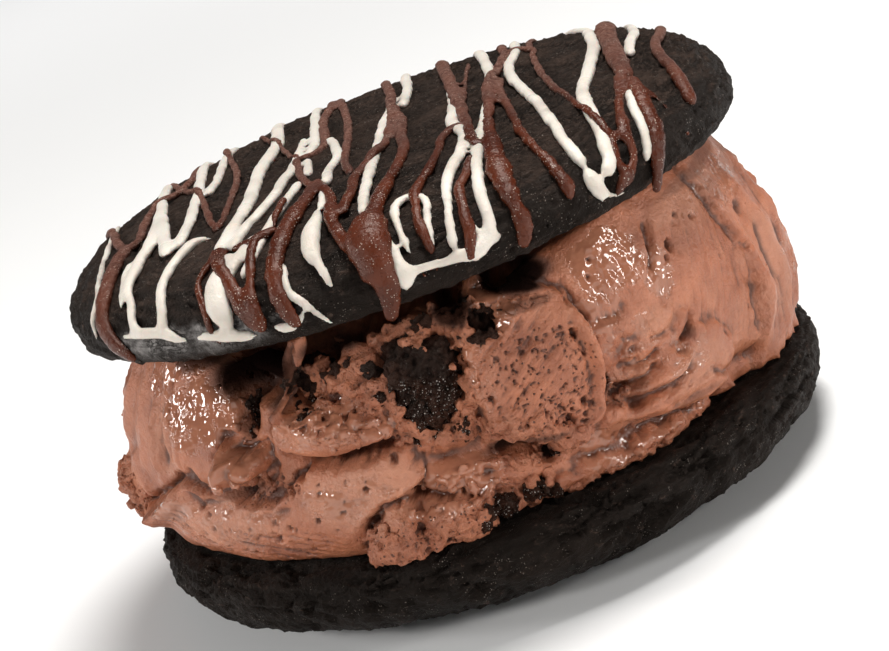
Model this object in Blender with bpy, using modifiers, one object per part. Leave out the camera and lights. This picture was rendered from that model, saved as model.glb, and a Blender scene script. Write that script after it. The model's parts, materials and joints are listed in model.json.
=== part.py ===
"""An ice cream sandwich: a tall, hand-scooped layer of chocolate ice cream between two thick dark
chocolate cookies, with lumps of brownie pressed into it.

Metres, +Z up. The origin is the centre of the flat spot that the bottom cookie stands on, the
front is -Y, and azimuths run from the front (0) towards +X (90), in degrees.
"""

import math

import bmesh
import bpy
from mathutils import Matrix, Vector, noise

MM = 0.001

# Cookies: the same bake twice, the bottom one lying on its domed side.
COOKIE_RADIUS = 45.0 * MM
TOP_COOKIE_RADIUS = 44.7 * MM
TOP_COOKIE_THICKNESS = 12.0 * MM
COOKIE_THICKNESS = 12.4 * MM  # the bottom one, before its dome is worn flat
RIM_HEIGHT = 2.8 * MM  # from a cookie's flat side up to its widest place
DOME_POWER = 4.6  # how flat the dome stays before it falls to the rim
DOME_ROUND = 2.2  # how round the shoulder is
STAND_RADIUS = 27.0 * MM  # the flat spot under the bottom cookie
COOKIE_WAVE = 0.35 * MM  # how far a rim strays from a true circle
COOKIE_STEPS = 66

# The top cookie sits a little askew on the uneven ice cream.
TOP_COOKIE_AT = Vector((0.0, 0.6 * MM, 40.3 * MM))
TOP_COOKIE_TILT = (math.radians(-1.66), math.radians(-1.31))

# Ice cream: a slab between the cookies, lofted round the azimuth.
CONTACT_GAP = 0.3 * MM
ICE_COLUMNS = 90
ICE_ROWS = 15
CAP_RINGS = (0.86, 0.6, 0.25)
CREST_ROUND = 0.12  # the share of a column's height that its crest rounds over

# Each station is (azimuth, foot radius, belly radius, belly height, crest radius, gap that is left
# under the top cookie), in millimetres apart from the azimuth.
STATIONS = (
    (-160, 40.4, 42.6, 24, 37.2, 0.0),
    (-130, 41.0, 43.4, 24, 37.2, 0.0),
    (-100, 41.6, 43.2, 23, 35.6, 0.0),
    (-80, 40.4, 43.0, 23, 34.8, 0.0),
    (-60, 38.6, 42.4, 20, 35.6, 0.6),
    (-45, 38.4, 41.8, 18, 35.4, 3.2),
    (-30, 38.2, 41.2, 18, 34.0, 7.6),
    (-18, 40.2, 41.0, 18, 34.4, 4.2),
    (-5, 40.6, 39.8, 20, 35.4, 3.0),
    (8, 38.6, 39.8, 26, 35.8, 3.4),
    (20, 38.6, 41.2, 29, 37.4, 1.6),
    (33, 38.4, 42.2, 29, 39.2, 0.0),
    (48, 38.2, 43.2, 26, 39.6, 0.0),
    (65, 41.4, 43.4, 22, 37.8, 0.0),
    (85, 42.2, 43.3, 20.5, 36.6, 0.0),
    (110, 41.8, 43.2, 21, 36.6, 0.0),
    (140, 41.0, 42.8, 24, 37.4, 0.0),
    (170, 40.6, 42.2, 24, 37.0, 0.0),
)

# Scoop marks and folds that stand out of the slab, or sink into it when the rise is negative:
# (azimuth, height, rise, half width round the slab, half height), in millimetres apart from the
# azimuth.
FOLDS = (
    (-88, 19.6, 3.3, 3.8, 2.8),  # a torn blob that hangs out at the left
    (-88, 15.8, 2.0, 3.6, 1.8),
    (-58, 30.5, 1.0, 8.0, 5.0),  # the smooth left shoulder
    (-42, 31.0, -2.0, 2.4, 3.2),  # the cleft beside it, the lump below and the crease under that
    (-44, 26.0, 1.7, 3.4, 2.2),
    (-45, 23.4, -1.0, 4.4, 1.2),
    (-26, 28.2, 2.4, 6.0, 2.2),  # the folded tongue, and the crease under it
    (-27, 25.2, -1.0, 8.0, 1.4),
    (-20, 32.6, -1.5, 4.6, 3.8),  # the crumbly hollow left of the brownie
    (-7.5, 21.4, -1.3, 3.0, 1.4),  # the hollow under the brownie
    (11, 27.5, 1.9, 6.4, 7.6),  # the cut face of a scoop, and the hollows under it
    (19.6, 27.0, 0.7, 2.2, 7.0),
    (3, 20.8, -1.9, 4.2, 2.0),
    (9, 17.4, -1.3, 3.2, 1.5),
    (21.8, 23.4, -1.9, 2.4, 1.9),  # folds at the lower right, over a lip
    (24.5, 20.2, -1.1, 3.0, 1.5),
    (34, 22.6, -1.0, 5.4, 1.2),
    (33, 20.4, 0.9, 6.0, 1.7),
    (32, 15.6, -1.2, 8.0, 1.3),
    (52, 15.4, -0.9, 4.6, 1.5),
    (43, 17.2, 1.0, 4.6, 2.0),
    (25, 13.8, 1.0, 11.0, 1.7),
    (46.5, 13.4, -2.4, 2.5, 1.8),
    (-55, 18.6, 1.0, 14.0, 4.0),  # the smeared lip at the lower left
    (-13, 13.8, 1.7, 7.0, 2.4),  # the torn foot at the front
    (118, 28.0, -1.6, 3.0, 7.0),  # the back
    (127, 21.0, 1.8, 9.0, 4.0),
    (146, 33.5, 1.5, 8.0, 3.6),
    (160, 22.5, -1.6, 12.0, 1.8),
    (178, 28.0, 1.7, 10.0, 4.5),
    (-158, 17.5, 1.3, 12.0, 3.0),
    (-150, 31.0, -1.5, 4.0, 5.5),
    (-128, 29.0, 1.5, 9.0, 6.0),
    (-122, 18.0, -1.2, 7.0, 1.8),
)

# Brownie lumps: (name, azimuth, height, distance from the axis, size across, deep and high, spin),
# in millimetres and degrees.
LUMPS = (
    ("brownie_front", -7.2, 30.3, 36.2, (9.4, 9.0, 12.2), 8.0),
    ("brownie_left", -28.2, 33.2, 34.0, (3.8, 5.2, 5.4), -14.0),
    ("brownie_top", 5.8, 34.8, 35.4, (3.6, 5.0, 3.2), 12.0),
    ("brownie_foot", -1.3, 13.95, 39.2, (3.3, 4.4, 2.8), 6.0),
    ("brownie_heel", 4.8, 14.2, 38.6, (3.1, 4.4, 2.8), 10.0),
)
LUMP_ROUGHNESS = 0.16

COLOURS = {
    "dark_cookie": ((0.020, 0.014, 0.012), 0.75),
    "chocolate_ice_cream": ((0.42, 0.175, 0.100), 0.45),
    "brownie": ((0.030, 0.012, 0.008), 0.40),
}


def clear_scene():
    for obj in list(bpy.data.objects):
        bpy.data.objects.remove(obj)


def collection(name):
    made = bpy.data.collections.new(name)
    bpy.context.scene.collection.children.link(made)
    return made


def material(name):
    colour, roughness = COLOURS[name]
    made = bpy.data.materials.new(name)
    made.use_nodes = True
    shader = made.node_tree.nodes["Principled BSDF"]
    shader.inputs["Base Color"].default_value = (*colour, 1.0)
    shader.inputs["Roughness"].default_value = roughness
    shader.inputs["Metallic"].default_value = 0.0
    return made


def place(name, mesh, home, look, matrix=None):
    """Links a mesh as the named object, smooth apart from its sharp edges."""
    mesh.name = name
    mesh.materials.clear()
    mesh.materials.append(look)
    mesh.shade_smooth()
    mesh.set_sharp_from_angle(angle=math.radians(45))
    obj = bpy.data.objects.new(name, mesh)
    obj.matrix_world = matrix or Matrix.Identity(4)
    home.objects.link(obj)
    return obj


def direction(azimuth):
    """The unit vector that points out of the slab at an azimuth in degrees."""
    angle = math.radians(azimuth)
    return Vector((math.sin(angle), -math.cos(angle), 0.0))


def dome_height(thickness, share):
    """The height of a cookie's dome at a share of its radius, from its flat side."""
    rise = thickness - RIM_HEIGHT
    return RIM_HEIGHT + rise * (1.0 - share**DOME_POWER) ** (1.0 / DOME_ROUND)


def cookie_profile(radius, thickness):
    """A cookie's outline in the XZ plane, from the middle of its dome down to its flat side."""
    points = [(0.0, thickness)]
    for share in (0.3, 0.59, 0.7, 0.8, 0.87, 0.92, 0.955, 0.98, 0.994):
        points.append((share * radius, dome_height(thickness, share)))
    corner = 0.9 * RIM_HEIGHT
    for step in range(4):
        turn = math.radians(90 - 30 * step)
        inward = corner * (1.0 - math.sin(turn))
        points.append((radius - inward, RIM_HEIGHT * (1.0 - math.cos(turn))))
    points.append((0.0, 0.0))
    return points


def turned(points):
    """A closed mesh turned from a profile at +X with a Screw modifier."""
    mesh = bpy.data.meshes.new("profile")
    edges = [(i, i + 1) for i in range(len(points) - 1)]
    mesh.from_pydata([(x, 0.0, z) for x, z in points], edges, [])
    obj = bpy.data.objects.new("profile", mesh)
    bpy.context.scene.collection.objects.link(obj)
    screw = obj.modifiers.new("turn", "SCREW")
    screw.steps = COOKIE_STEPS
    screw.render_steps = COOKIE_STEPS
    screw.use_merge_vertices = True
    screw.merge_threshold = 0.00001
    bpy.context.view_layer.update()
    graph = bpy.context.evaluated_depsgraph_get()
    solid = bpy.data.meshes.new_from_object(obj.evaluated_get(graph))
    bpy.data.objects.remove(obj)
    return solid


def cookie_mesh(radius, thickness, seed):
    """A cookie on its flat side, its rim and dome a little out of true as a baked one's are."""
    solid = turned(cookie_profile(radius, thickness))
    for vertex in solid.vertices:
        reach = math.hypot(vertex.co.x, vertex.co.y)
        share = reach / radius
        angle = math.atan2(vertex.co.y, vertex.co.x)
        round_the_rim = Vector((math.cos(angle), math.sin(angle), seed))
        wave = COOKIE_WAVE * noise.noise(round_the_rim * 1.7) * share**6
        vertex.co.x += wave * math.cos(angle)
        vertex.co.y += wave * math.sin(angle)
        if vertex.co.z > RIM_HEIGHT and share > STAND_RADIUS / radius:
            vertex.co.z += COOKIE_WAVE * noise.noise(round_the_rim * 2.6)
    return solid


def lay_on_dome(mesh):
    """Turns a cookie over and flattens the dome's middle, so that it stands on a flat spot."""
    mesh.transform(Matrix.Rotation(math.pi, 4, "X"))
    mesh.transform(Matrix.Translation((0.0, 0.0, COOKIE_THICKNESS)))
    floor = COOKIE_THICKNESS - dome_height(COOKIE_THICKNESS, STAND_RADIUS / COOKIE_RADIUS)
    for vertex in mesh.vertices:
        if math.hypot(vertex.co.x, vertex.co.y) < STAND_RADIUS and vertex.co.z < RIM_HEIGHT:
            vertex.co.z = floor
    mesh.transform(Matrix.Translation((0.0, 0.0, -floor)))
    return COOKIE_THICKNESS - floor


def top_cookie_matrix():
    tilt_x, tilt_y = TOP_COOKIE_TILT
    turn = Matrix.Rotation(tilt_y, 4, "Y") @ Matrix.Rotation(tilt_x, 4, "X")
    return Matrix.Translation(TOP_COOKIE_AT) @ turn


def underside_height(x, y):
    """The height of the top cookie's flat side above a point."""
    normal = top_cookie_matrix().to_3x3() @ Vector((0.0, 0.0, 1.0))
    away = Vector((x, y, 0.0)) - TOP_COOKIE_AT
    return TOP_COOKIE_AT.z - (normal.x * away.x + normal.y * away.y) / normal.z


def station(azimuth):
    """The stations' five sizes at any azimuth, eased from one station to the next, in metres."""
    count = len(STATIONS)
    for i, here in enumerate(STATIONS):
        after = STATIONS[(i + 1) % count]
        span = (after[0] - here[0]) % 360
        along = (azimuth - here[0]) % 360
        if along <= span:
            ease = 0.5 - 0.5 * math.cos(math.pi * along / span)
            return [(a + (b - a) * ease) * MM for a, b in zip(here[1:], after[1:])]
    raise ValueError(azimuth)


def fold_rise(azimuth, height):
    """How far the folds move the surface in or out at a place on the slab's side."""
    rise = 0.0
    for fold_azimuth, fold_height, fold_rise_mm, half_width, half_height in FOLDS:
        turn = (azimuth - fold_azimuth + 180) % 360 - 180
        across = math.radians(turn) * COOKIE_RADIUS / (half_width * MM)
        up = (height - fold_height * MM) / (half_height * MM)
        rise += fold_rise_mm * MM * math.exp(-(across**2) - up**2)
    return rise


def side_point(azimuth, t, floor):
    """A point on the ice cream's side, at the share t of the way from its foot to its crest."""
    foot, belly, belly_height, crest, gap = station(azimuth)
    out = direction(azimuth)
    crest_at = out * crest
    ceiling = underside_height(crest_at.x, crest_at.y) - CONTACT_GAP - gap
    height = floor + (ceiling - floor) * t
    middle = (belly_height - floor) / (ceiling - floor)
    if t < middle:
        radius = foot + (belly - foot) * math.sin(0.5 * math.pi * t / middle)
    else:
        fall = (t - middle) / (1.0 - middle)
        radius = crest + (belly - crest) * math.cos(0.5 * math.pi * fall) ** 0.75
    contact = min(1.0, t / CREST_ROUND, (1.0 - t) / CREST_ROUND)
    radius += fold_rise(azimuth, height) * contact
    return out * radius + Vector((0.0, 0.0, height))


def ice_cream_mesh(floor):
    """The slab of ice cream: a loft of columns round the azimuth, closed by ringed caps."""
    bm = bmesh.new()
    azimuths = [360.0 * i / ICE_COLUMNS for i in range(ICE_COLUMNS)]
    rings = []
    side = [
        [side_point(a, row / ICE_ROWS, floor) for a in azimuths] for row in range(ICE_ROWS + 1)
    ]

    def cap(edge, share):
        centre = Vector((0.0, 0.0, 0.0))
        points = [centre.lerp(Vector((p.x, p.y, 0.0)), share) for p in edge]
        return points

    bottom = [[Vector((p.x, p.y, floor)) for p in cap(side[0], s)] for s in reversed(CAP_RINGS)]
    top = []
    for share in CAP_RINGS:
        ring = cap(side[-1], share)
        for point, edge in zip(ring, side[-1]):
            ceiling = underside_height(point.x, point.y) - CONTACT_GAP
            sunk = underside_height(edge.x, edge.y) - CONTACT_GAP - edge.z
            point.z = ceiling - sunk * max(0.0, (share - CAP_RINGS[1]) / (1.0 - CAP_RINGS[1]))
        top.append(ring)
    for points in bottom + side + top:
        rings.append([bm.verts.new(p) for p in points])
    for lower, upper in zip(rings, rings[1:]):
        for i in range(ICE_COLUMNS):
            j = (i + 1) % ICE_COLUMNS
            bm.faces.new((lower[i], lower[j], upper[j], upper[i]))
    bm.faces.new(reversed(rings[0]))
    bm.faces.new(rings[-1])
    bmesh.ops.triangulate(bm, faces=bm.faces)
    bmesh.ops.recalc_face_normals(bm, faces=bm.faces)
    mesh = bpy.data.meshes.new("ice_cream")
    bm.to_mesh(mesh)
    bm.free()
    return mesh


def lump_mesh(size, seed):
    """A torn lump of brownie: a ball pushed towards a block, then broken up by noise."""
    bm = bmesh.new()
    bmesh.ops.create_icosphere(bm, subdivisions=3, radius=0.5)
    for vertex in bm.verts:
        unit = vertex.co.normalized()
        blocky = unit / max(abs(unit.x), abs(unit.y), abs(unit.z)) ** 0.55
        wear = 1.0 + LUMP_ROUGHNESS * noise.fractal(unit * 2.2 + Vector((seed, 0, 0)), 1.0, 2.0, 3)
        vertex.co = 0.5 * wear * Vector(a * b * MM for a, b in zip(blocky, size))
    mesh = bpy.data.meshes.new("lump")
    bm.to_mesh(mesh)
    bm.free()
    return mesh


def grown(mesh, by):
    """A copy of a closed mesh with its surface moved out."""
    bm = bmesh.new()
    bm.from_mesh(mesh)
    bm.normal_update()
    for vertex, step in [(v, v.normal * by) for v in bm.verts]:
        vertex.co += step
    copy = bpy.data.meshes.new("grown")
    bm.to_mesh(copy)
    bm.free()
    return copy


def build_lumps(home, cutters, look, ice_cream):
    """The brownie lumps, each in a pocket of the ice cream that clears it by the contact gap."""
    for seed, (name, azimuth, height, reach, size, spin) in enumerate(LUMPS):
        mesh = lump_mesh(size, seed)
        at = direction(azimuth) * reach * MM + Vector((0.0, 0.0, height * MM))
        facing = Matrix.Rotation(math.radians(azimuth), 4, "Z")
        matrix = Matrix.Translation(at) @ facing @ Matrix.Rotation(math.radians(spin), 4, "Y")
        place(name, mesh, home, look, matrix)
        cutter = place(name + "_pocket", grown(mesh, CONTACT_GAP), cutters, look, matrix)
        cutter.hide_render = True
        cutter.display_type = "WIRE"
        pocket = ice_cream.modifiers.new(name + "_pocket", "BOOLEAN")
        pocket.operation = "DIFFERENCE"
        pocket.object = cutter


def main():
    clear_scene()
    home = collection("ice_cream_sandwich")
    cutters = collection("pocket_cutters")
    dark_cookie = material("dark_cookie")

    bottom = cookie_mesh(COOKIE_RADIUS, COOKIE_THICKNESS, seed=1.0)
    cookie_top = lay_on_dome(bottom)
    place("bottom_cookie", bottom, home, dark_cookie)
    top = cookie_mesh(TOP_COOKIE_RADIUS, TOP_COOKIE_THICKNESS, seed=7.0)
    place("top_cookie", top, home, dark_cookie, top_cookie_matrix())

    slab = ice_cream_mesh(cookie_top + CONTACT_GAP)
    ice_cream = place("ice_cream", slab, home, material("chocolate_ice_cream"))
    build_lumps(home, cutters, material("brownie"), ice_cream)


main()
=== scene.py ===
"""The looks of an ice cream sandwich: two dark chocolate cookies, a hand-scooped slab of chocolate
ice cream with brownie in it, and a drizzle of white and milk chocolate over the top cookie.

Lengths in the tables are millimetres. Azimuths run round the slab from the front (0) towards +X
(90), in degrees. Places on the top cookie are in the cookie's own frame, whose front is -Y.
"""

import json
import math
import random

import bmesh
import bpy
import numpy as np
from mathutils import Matrix, Vector, noise
from mathutils.bvhtree import BVHTree

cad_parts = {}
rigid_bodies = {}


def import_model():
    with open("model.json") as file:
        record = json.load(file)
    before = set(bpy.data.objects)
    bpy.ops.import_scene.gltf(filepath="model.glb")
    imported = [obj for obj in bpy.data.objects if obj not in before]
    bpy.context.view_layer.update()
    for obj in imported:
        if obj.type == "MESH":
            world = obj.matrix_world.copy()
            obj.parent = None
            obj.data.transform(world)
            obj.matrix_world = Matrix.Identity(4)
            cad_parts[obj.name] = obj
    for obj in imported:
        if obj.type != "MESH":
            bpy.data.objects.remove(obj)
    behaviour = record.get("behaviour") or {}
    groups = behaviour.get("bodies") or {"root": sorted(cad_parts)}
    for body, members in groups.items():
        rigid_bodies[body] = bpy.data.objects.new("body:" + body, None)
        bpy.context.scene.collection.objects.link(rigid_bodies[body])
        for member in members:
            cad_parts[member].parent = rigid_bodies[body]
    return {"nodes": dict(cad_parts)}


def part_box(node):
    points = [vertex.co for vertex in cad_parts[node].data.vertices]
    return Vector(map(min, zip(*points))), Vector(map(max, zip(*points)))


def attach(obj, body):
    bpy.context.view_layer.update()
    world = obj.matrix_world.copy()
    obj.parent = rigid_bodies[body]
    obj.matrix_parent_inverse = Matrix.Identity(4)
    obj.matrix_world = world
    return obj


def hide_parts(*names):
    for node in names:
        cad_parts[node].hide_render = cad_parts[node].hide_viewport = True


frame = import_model()
for startup in [o for o in bpy.data.objects if o.name in ("Cube", "Light", "Camera")]:
    bpy.data.objects.remove(startup)
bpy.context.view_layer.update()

MM = 0.001
DEGREE = math.radians(1.0)
SAME_PLACE = 0.000001  # metres; points nearer than this are one point
FAR_OFF = 1e9  # further away than anything

# The top cookie, as its solid has it.
TOP_RADIUS = 44.7
TOP_THICKNESS = 12.0
RIM_HEIGHT = 2.8
DOME_POWER = 4.6
DOME_ROUND = 2.2
TOP_AT = Vector((0.0, 0.6, 40.3))
TOP_TILT = (-1.66, -1.31)

SLAB_RADIUS = 41.0  # a middling radius of the slab, which turns azimuths into lengths
SLAB_ARC = SLAB_RADIUS * DEGREE  # millimetres round the slab for each degree

# Sizes of the small, even faces that the pieces are rebuilt from.
COOKIE_VOXEL = 0.5
SLAB_VOXEL = 0.6
TORN_VOXEL = 0.27
CHUNK_VOXEL = 0.5
BROWNIE_VOXEL = 0.22
WHITE_VOXEL = 0.36
MILK_VOXEL = 0.32

# The part of the slab's side whose faces are split finer.
FINE_MIDDLE = -14.0  # its middle, an azimuth
FINE_HALF = 52.0  # half its length round the slab
FINE_REACH = 35.0  # its least radius
FINE_HEIGHT = 12.2  # its foot

RELIEF = 1.3  # how far the folds and cuts in the slab are deepened

# The radii over which each change to the slab sets in.
FINISH_SETS_IN = (26.0, 30.0)
CARVING_SETS_IN = (33.0, 36.5)
TEARING_SETS_IN = (35.0, 37.0)

# The gaps between the slab's top and the top cookie.
CREST_REACH = 34.6  # the slab's top may sink inside this radius
SUNK_REACH = 31.0  # it has sunk all the way here
RISING_REACH = 22.0  # and starts to rise again here
CORE_REACH = 14.0  # it stays as it was inside this radius
TOP_HEIGHT = 31.0  # what is higher than this belongs to the slab's top
OPEN_GAP = (-58.0, 24.0)  # the azimuths between which one can look in


# ---- Node trees, written as formulas ----


class Wire:
    """A socket's output that can be added, multiplied and so on, each of which adds a node."""

    def __init__(self, graph, socket):
        self.graph = graph
        self.socket = socket

    def __add__(self, other):
        return self.graph.sum_of("ADD", self, other)

    def __sub__(self, other):
        return self.graph.sum_of("SUBTRACT", self, other)

    def __rsub__(self, other):
        return self.graph.sum_of("SUBTRACT", other, self)

    def __mul__(self, other):
        return self.graph.sum_of("MULTIPLY", self, other)

    def __truediv__(self, other):
        return self.graph.sum_of("DIVIDE", self, other)

    def __rtruediv__(self, other):
        return self.graph.sum_of("DIVIDE", other, self)

    __radd__ = __add__
    __rmul__ = __mul__


class Graph:
    """A node tree under construction."""

    def __init__(self, tree):
        self.tree = tree

    def node(self, kind, settings=None, **inputs):
        made = self.tree.nodes.new(kind)
        for name, value in (settings or {}).items():
            setattr(made, name, value)
        self.fill(made, **inputs)
        return made

    def fill(self, made, **inputs):
        """Links wires to a node's inputs, and sets the inputs that are plain values."""
        for name, value in inputs.items():
            self.feed(named_socket(made.inputs, name), value)

    def feed(self, socket, value):
        if isinstance(value, Wire):
            self.tree.links.new(value.socket, socket)
        else:
            socket.default_value = value

    def wire(self, made, name):
        return Wire(self, named_socket(made.outputs, name))

    def result(self, kind, name, settings=None, **inputs):
        """The wire of the output that a new node has under a name."""
        return self.wire(self.node(kind, settings, **inputs), name)

    def sum_of(self, operation, a, b=None):
        """A maths node, on vectors if the first value is one."""
        vector = isinstance(a, Wire) and a.socket.type in ("VECTOR", "RGBA")
        made = self.tree.nodes.new("ShaderNodeVectorMath" if vector else "ShaderNodeMath")
        made.operation = operation
        scaled = vector and operation == "MULTIPLY" and not is_vector(b)
        if scaled:
            made.operation = "SCALE"
            self.feed(made.inputs["Scale"], b)
        for socket, value in zip(made.inputs, (a,) if scaled else (a, b)):
            if value is not None:
                self.feed(socket, value)
        return Wire(self, next(s for s in made.outputs if s.enabled))

    def high(self, a, b):
        return self.sum_of("MAXIMUM", a, b)

    def power(self, a, b):
        return self.sum_of("POWER", a, b)

    def ramp(self, value, start, end, low=0.0, high=1.0):
        """A value eased from low to high between start and end."""
        return self.result(
            "ShaderNodeMapRange",
            "Result",
            {"interpolation_type": "SMOOTHSTEP"},
            Value=value,
            From_Min=start,
            From_Max=end,
            To_Min=low,
            To_Max=high,
        )

    def mix(self, share, a, b):
        """Two colours, or two numbers, mixed."""
        kind = "RGBA" if is_vector(a) or is_vector(b) else "FLOAT"
        return self.result("ShaderNodeMix", "Result", {"data_type": kind}, Factor=share, A=a, B=b)

    def noise(self, at, size, detail=2.0, roughness=0.5, distortion=0.0):
        """Noise from -1 to 1, with features of about the given size in millimetres."""
        made = self.result(
            "ShaderNodeTexNoise",
            "Fac",
            Vector=at,
            Scale=1.0 / (size * MM),
            Detail=detail,
            Roughness=roughness,
            Distortion=distortion,
        )
        return made * 2.0 - 1.0

    def cells(self, at, size, feature="F1", output="Distance"):
        """The distance to the nearest of points scattered about the given size apart."""
        settings = {"feature": feature}
        return self.result("ShaderNodeTexVoronoi", output, settings, Vector=at, Scale=1.0 / (size * MM))

    def cell_random(self, at, size):
        """A random number for each cell."""
        return self.parts(self.cells(at, size, output="Color"))[0]

    def parts(self, vector):
        made = self.node("ShaderNodeSeparateXYZ", Vector=vector)
        return [self.wire(made, name) for name in "XYZ"]

    def joined(self, x, y, z):
        return self.result("ShaderNodeCombineXYZ", "Vector", X=x, Y=y, Z=z)


def is_vector(value):
    if isinstance(value, Wire):
        return value.socket.type in ("VECTOR", "RGBA")
    return hasattr(value, "__len__")


def named_socket(sockets, name):
    plain = name.replace("_", " ")
    return next(s for s in sockets if s.name == plain and s.enabled)


def numbers(**defaults):
    """Number sockets for a group's interface, by name, with what each starts at."""
    return [(name.replace("_", " "), "NodeSocketFloat", value) for name, value in defaults.items()]


def new_group(name, kind, inputs, outputs):
    """An empty node group with its sockets, the wires of its inputs, and its output node."""
    tree = bpy.data.node_groups.new(name, kind)
    for label, socket_type, default in inputs:
        made = tree.interface.new_socket(label, in_out="INPUT", socket_type=socket_type)
        if default is not None:
            made.default_value = default
    for label, socket_type in outputs:
        tree.interface.new_socket(label, in_out="OUTPUT", socket_type=socket_type)
    graph = Graph(tree)
    entry = graph.node("NodeGroupInput")
    wires = [Wire(graph, socket) for socket in entry.outputs[: len(inputs)]]
    return graph, wires, graph.node("NodeGroupOutput")


# ---- Geometry Nodes ----


def named_field(graph, name, kind="FLOAT"):
    settings = {"data_type": kind}
    return graph.result("GeometryNodeInputNamedAttribute", "Attribute", settings, Name=name)


def close_tree(graph, exit_node, geometry, material_wire):
    """Ends a tree: instances realized, smooth shading and the material set."""
    real = graph.result("GeometryNodeRealizeInstances", "Geometry", Geometry=geometry)
    smooth = graph.result("GeometryNodeSetShadeSmooth", "Geometry", Geometry=real, Shade_Smooth=True)
    coated = graph.result("GeometryNodeSetMaterial", "Geometry", Geometry=smooth, Material=material_wire)
    graph.feed(exit_node.inputs[0], coated)


def new_mesh_tree(name, inputs):
    """An empty tree that makes a mesh of a first one, with a material as its last input."""
    inputs = [("Mesh", "NodeSocketGeometry", None)] + inputs + [("Material", "NodeSocketMaterial", None)]
    return new_group(name, "GeometryNodeTree", inputs, [("Mesh", "NodeSocketGeometry")])


def moved(graph, geometry, offset):
    return graph.result("GeometryNodeSetPosition", "Geometry", Geometry=geometry, Offset=offset)


def relief_tree(name, relief, **sizes):
    """A tree that moves a mesh's surface along its normal by a formula of its place."""
    graph, wires, exit_node = new_mesh_tree(name, numbers(**sizes))
    at = graph.result("GeometryNodeInputPosition", "Position")
    normal = graph.result("GeometryNodeInputNormal", "Normal")
    rise = relief(graph, at, *wires[1:-1])
    close_tree(graph, exit_node, moved(graph, wires[0], normal * (rise * MM)), wires[-1])
    return graph.tree


def linked(name, data):
    """A new object in the scene."""
    made = bpy.data.objects.new(name, data)
    bpy.context.scene.collection.objects.link(made)
    return made


def evaluated(obj):
    """The mesh that an object's modifiers make of it. The object is removed."""
    bpy.context.view_layer.update()
    graph = bpy.context.evaluated_depsgraph_get()
    made = bpy.data.meshes.new_from_object(obj.evaluated_get(graph))
    bpy.data.objects.remove(obj)
    return made


def run_tree(tree, mesh, **inputs):
    """The mesh that a tree makes of another mesh."""
    obj = linked("worked", mesh)
    modifier = obj.modifiers.new("tree", "NODES")
    modifier.node_group = tree
    labels = {
        item.name: item.identifier
        for item in tree.interface.items_tree
        if item.item_type == "SOCKET" and item.in_out == "INPUT"
    }
    for name, value in inputs.items():
        modifier[labels[name.replace("_", " ")]] = value
    return evaluated(obj)


# ---- Meshes ----


def points_of(mesh):
    flat = np.empty(len(mesh.vertices) * 3, np.float32)
    mesh.vertices.foreach_get("co", flat)
    return flat.reshape(-1, 3).astype(float)


def set_points(mesh, points):
    mesh.vertices.foreach_set("co", points.astype(np.float32).ravel())
    mesh.update()


def normals_of(mesh):
    flat = np.empty(len(mesh.vertices) * 3, np.float32)
    mesh.vertex_normals.foreach_get("vector", flat)
    return flat.reshape(-1, 3).astype(float)


def set_field(mesh, name, values):
    made = mesh.attributes.get(name) or mesh.attributes.new(name, "FLOAT", "POINT")
    made.data.foreach_set("value", np.asarray(values, np.float32))


def evened(mesh, values, rounds):
    """Values at the vertices, each evened out with its neighbours' a number of times."""
    ends = np.empty(len(mesh.edges) * 2, np.int32)
    mesh.edges.foreach_get("vertices", ends)
    a, b = ends.reshape(-1, 2).T
    count = len(mesh.vertices)
    degree = np.bincount(a, minlength=count) + np.bincount(b, minlength=count)
    columns = values.reshape(count, -1).T.copy()
    for _ in range(rounds):
        for i, column in enumerate(columns):
            around = np.bincount(a, column[b], count) + np.bincount(b, column[a], count)
            columns[i] = 0.5 * column + 0.5 * around / np.maximum(degree, 1)
    return columns.T.reshape(values.shape)


def joined_meshes(meshes, same_place=0.0):
    """Copies of meshes as one mesh, with the points joined up that are nearer than a distance."""
    bm = bmesh.new()
    for mesh in meshes:
        bm.from_mesh(mesh)
    if same_place:
        bmesh.ops.remove_doubles(bm, verts=bm.verts, dist=same_place)
    made = bpy.data.meshes.new("joined")
    bm.to_mesh(made)
    bm.free()
    return made


def merged_copy(nodes):
    """One mesh of copies of CAD nodes, with their loose triangles joined up."""
    return joined_meshes([frame["nodes"][name].data for name in nodes], SAME_PLACE)


def remeshed(mesh, voxel, smoothing):
    """The mesh rebuilt from small, even faces, with what overlaps joined."""
    obj = linked("remeshed", mesh)
    modifier = obj.modifiers.new("even", "REMESH")
    modifier.mode = "VOXEL"
    modifier.voxel_size = voxel * MM
    made = evaluated(obj)
    set_points(made, evened(made, points_of(made), smoothing))
    return made


def shell_of(mesh):
    return BVHTree.FromPolygons([v.co for v in mesh.vertices], [p.vertices for p in mesh.polygons])


def finished(name, mesh, material, slot, *nodes):
    """Links a mesh as a piece of the sandwich, which stands for the CAD nodes that are named."""
    mesh.name = name
    mesh.materials.clear()
    mesh.materials.append(material)
    mesh.shade_smooth()
    piece = linked(name, mesh)
    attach(piece, "root")
    if nodes:
        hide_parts(*nodes)


def eased(value, start, end):
    """Goes smoothly from 0 at the start to 1 at the end, whichever is larger."""
    share = np.clip((value - start) / (end - start), 0.0, 1.0)
    return share * share * (3.0 - 2.0 * share)


# ---- Shader groups and materials ----

SCOOPED = 38.0 * DEGREE  # how steeply the scoop's lines rise to the right on its face

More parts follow.
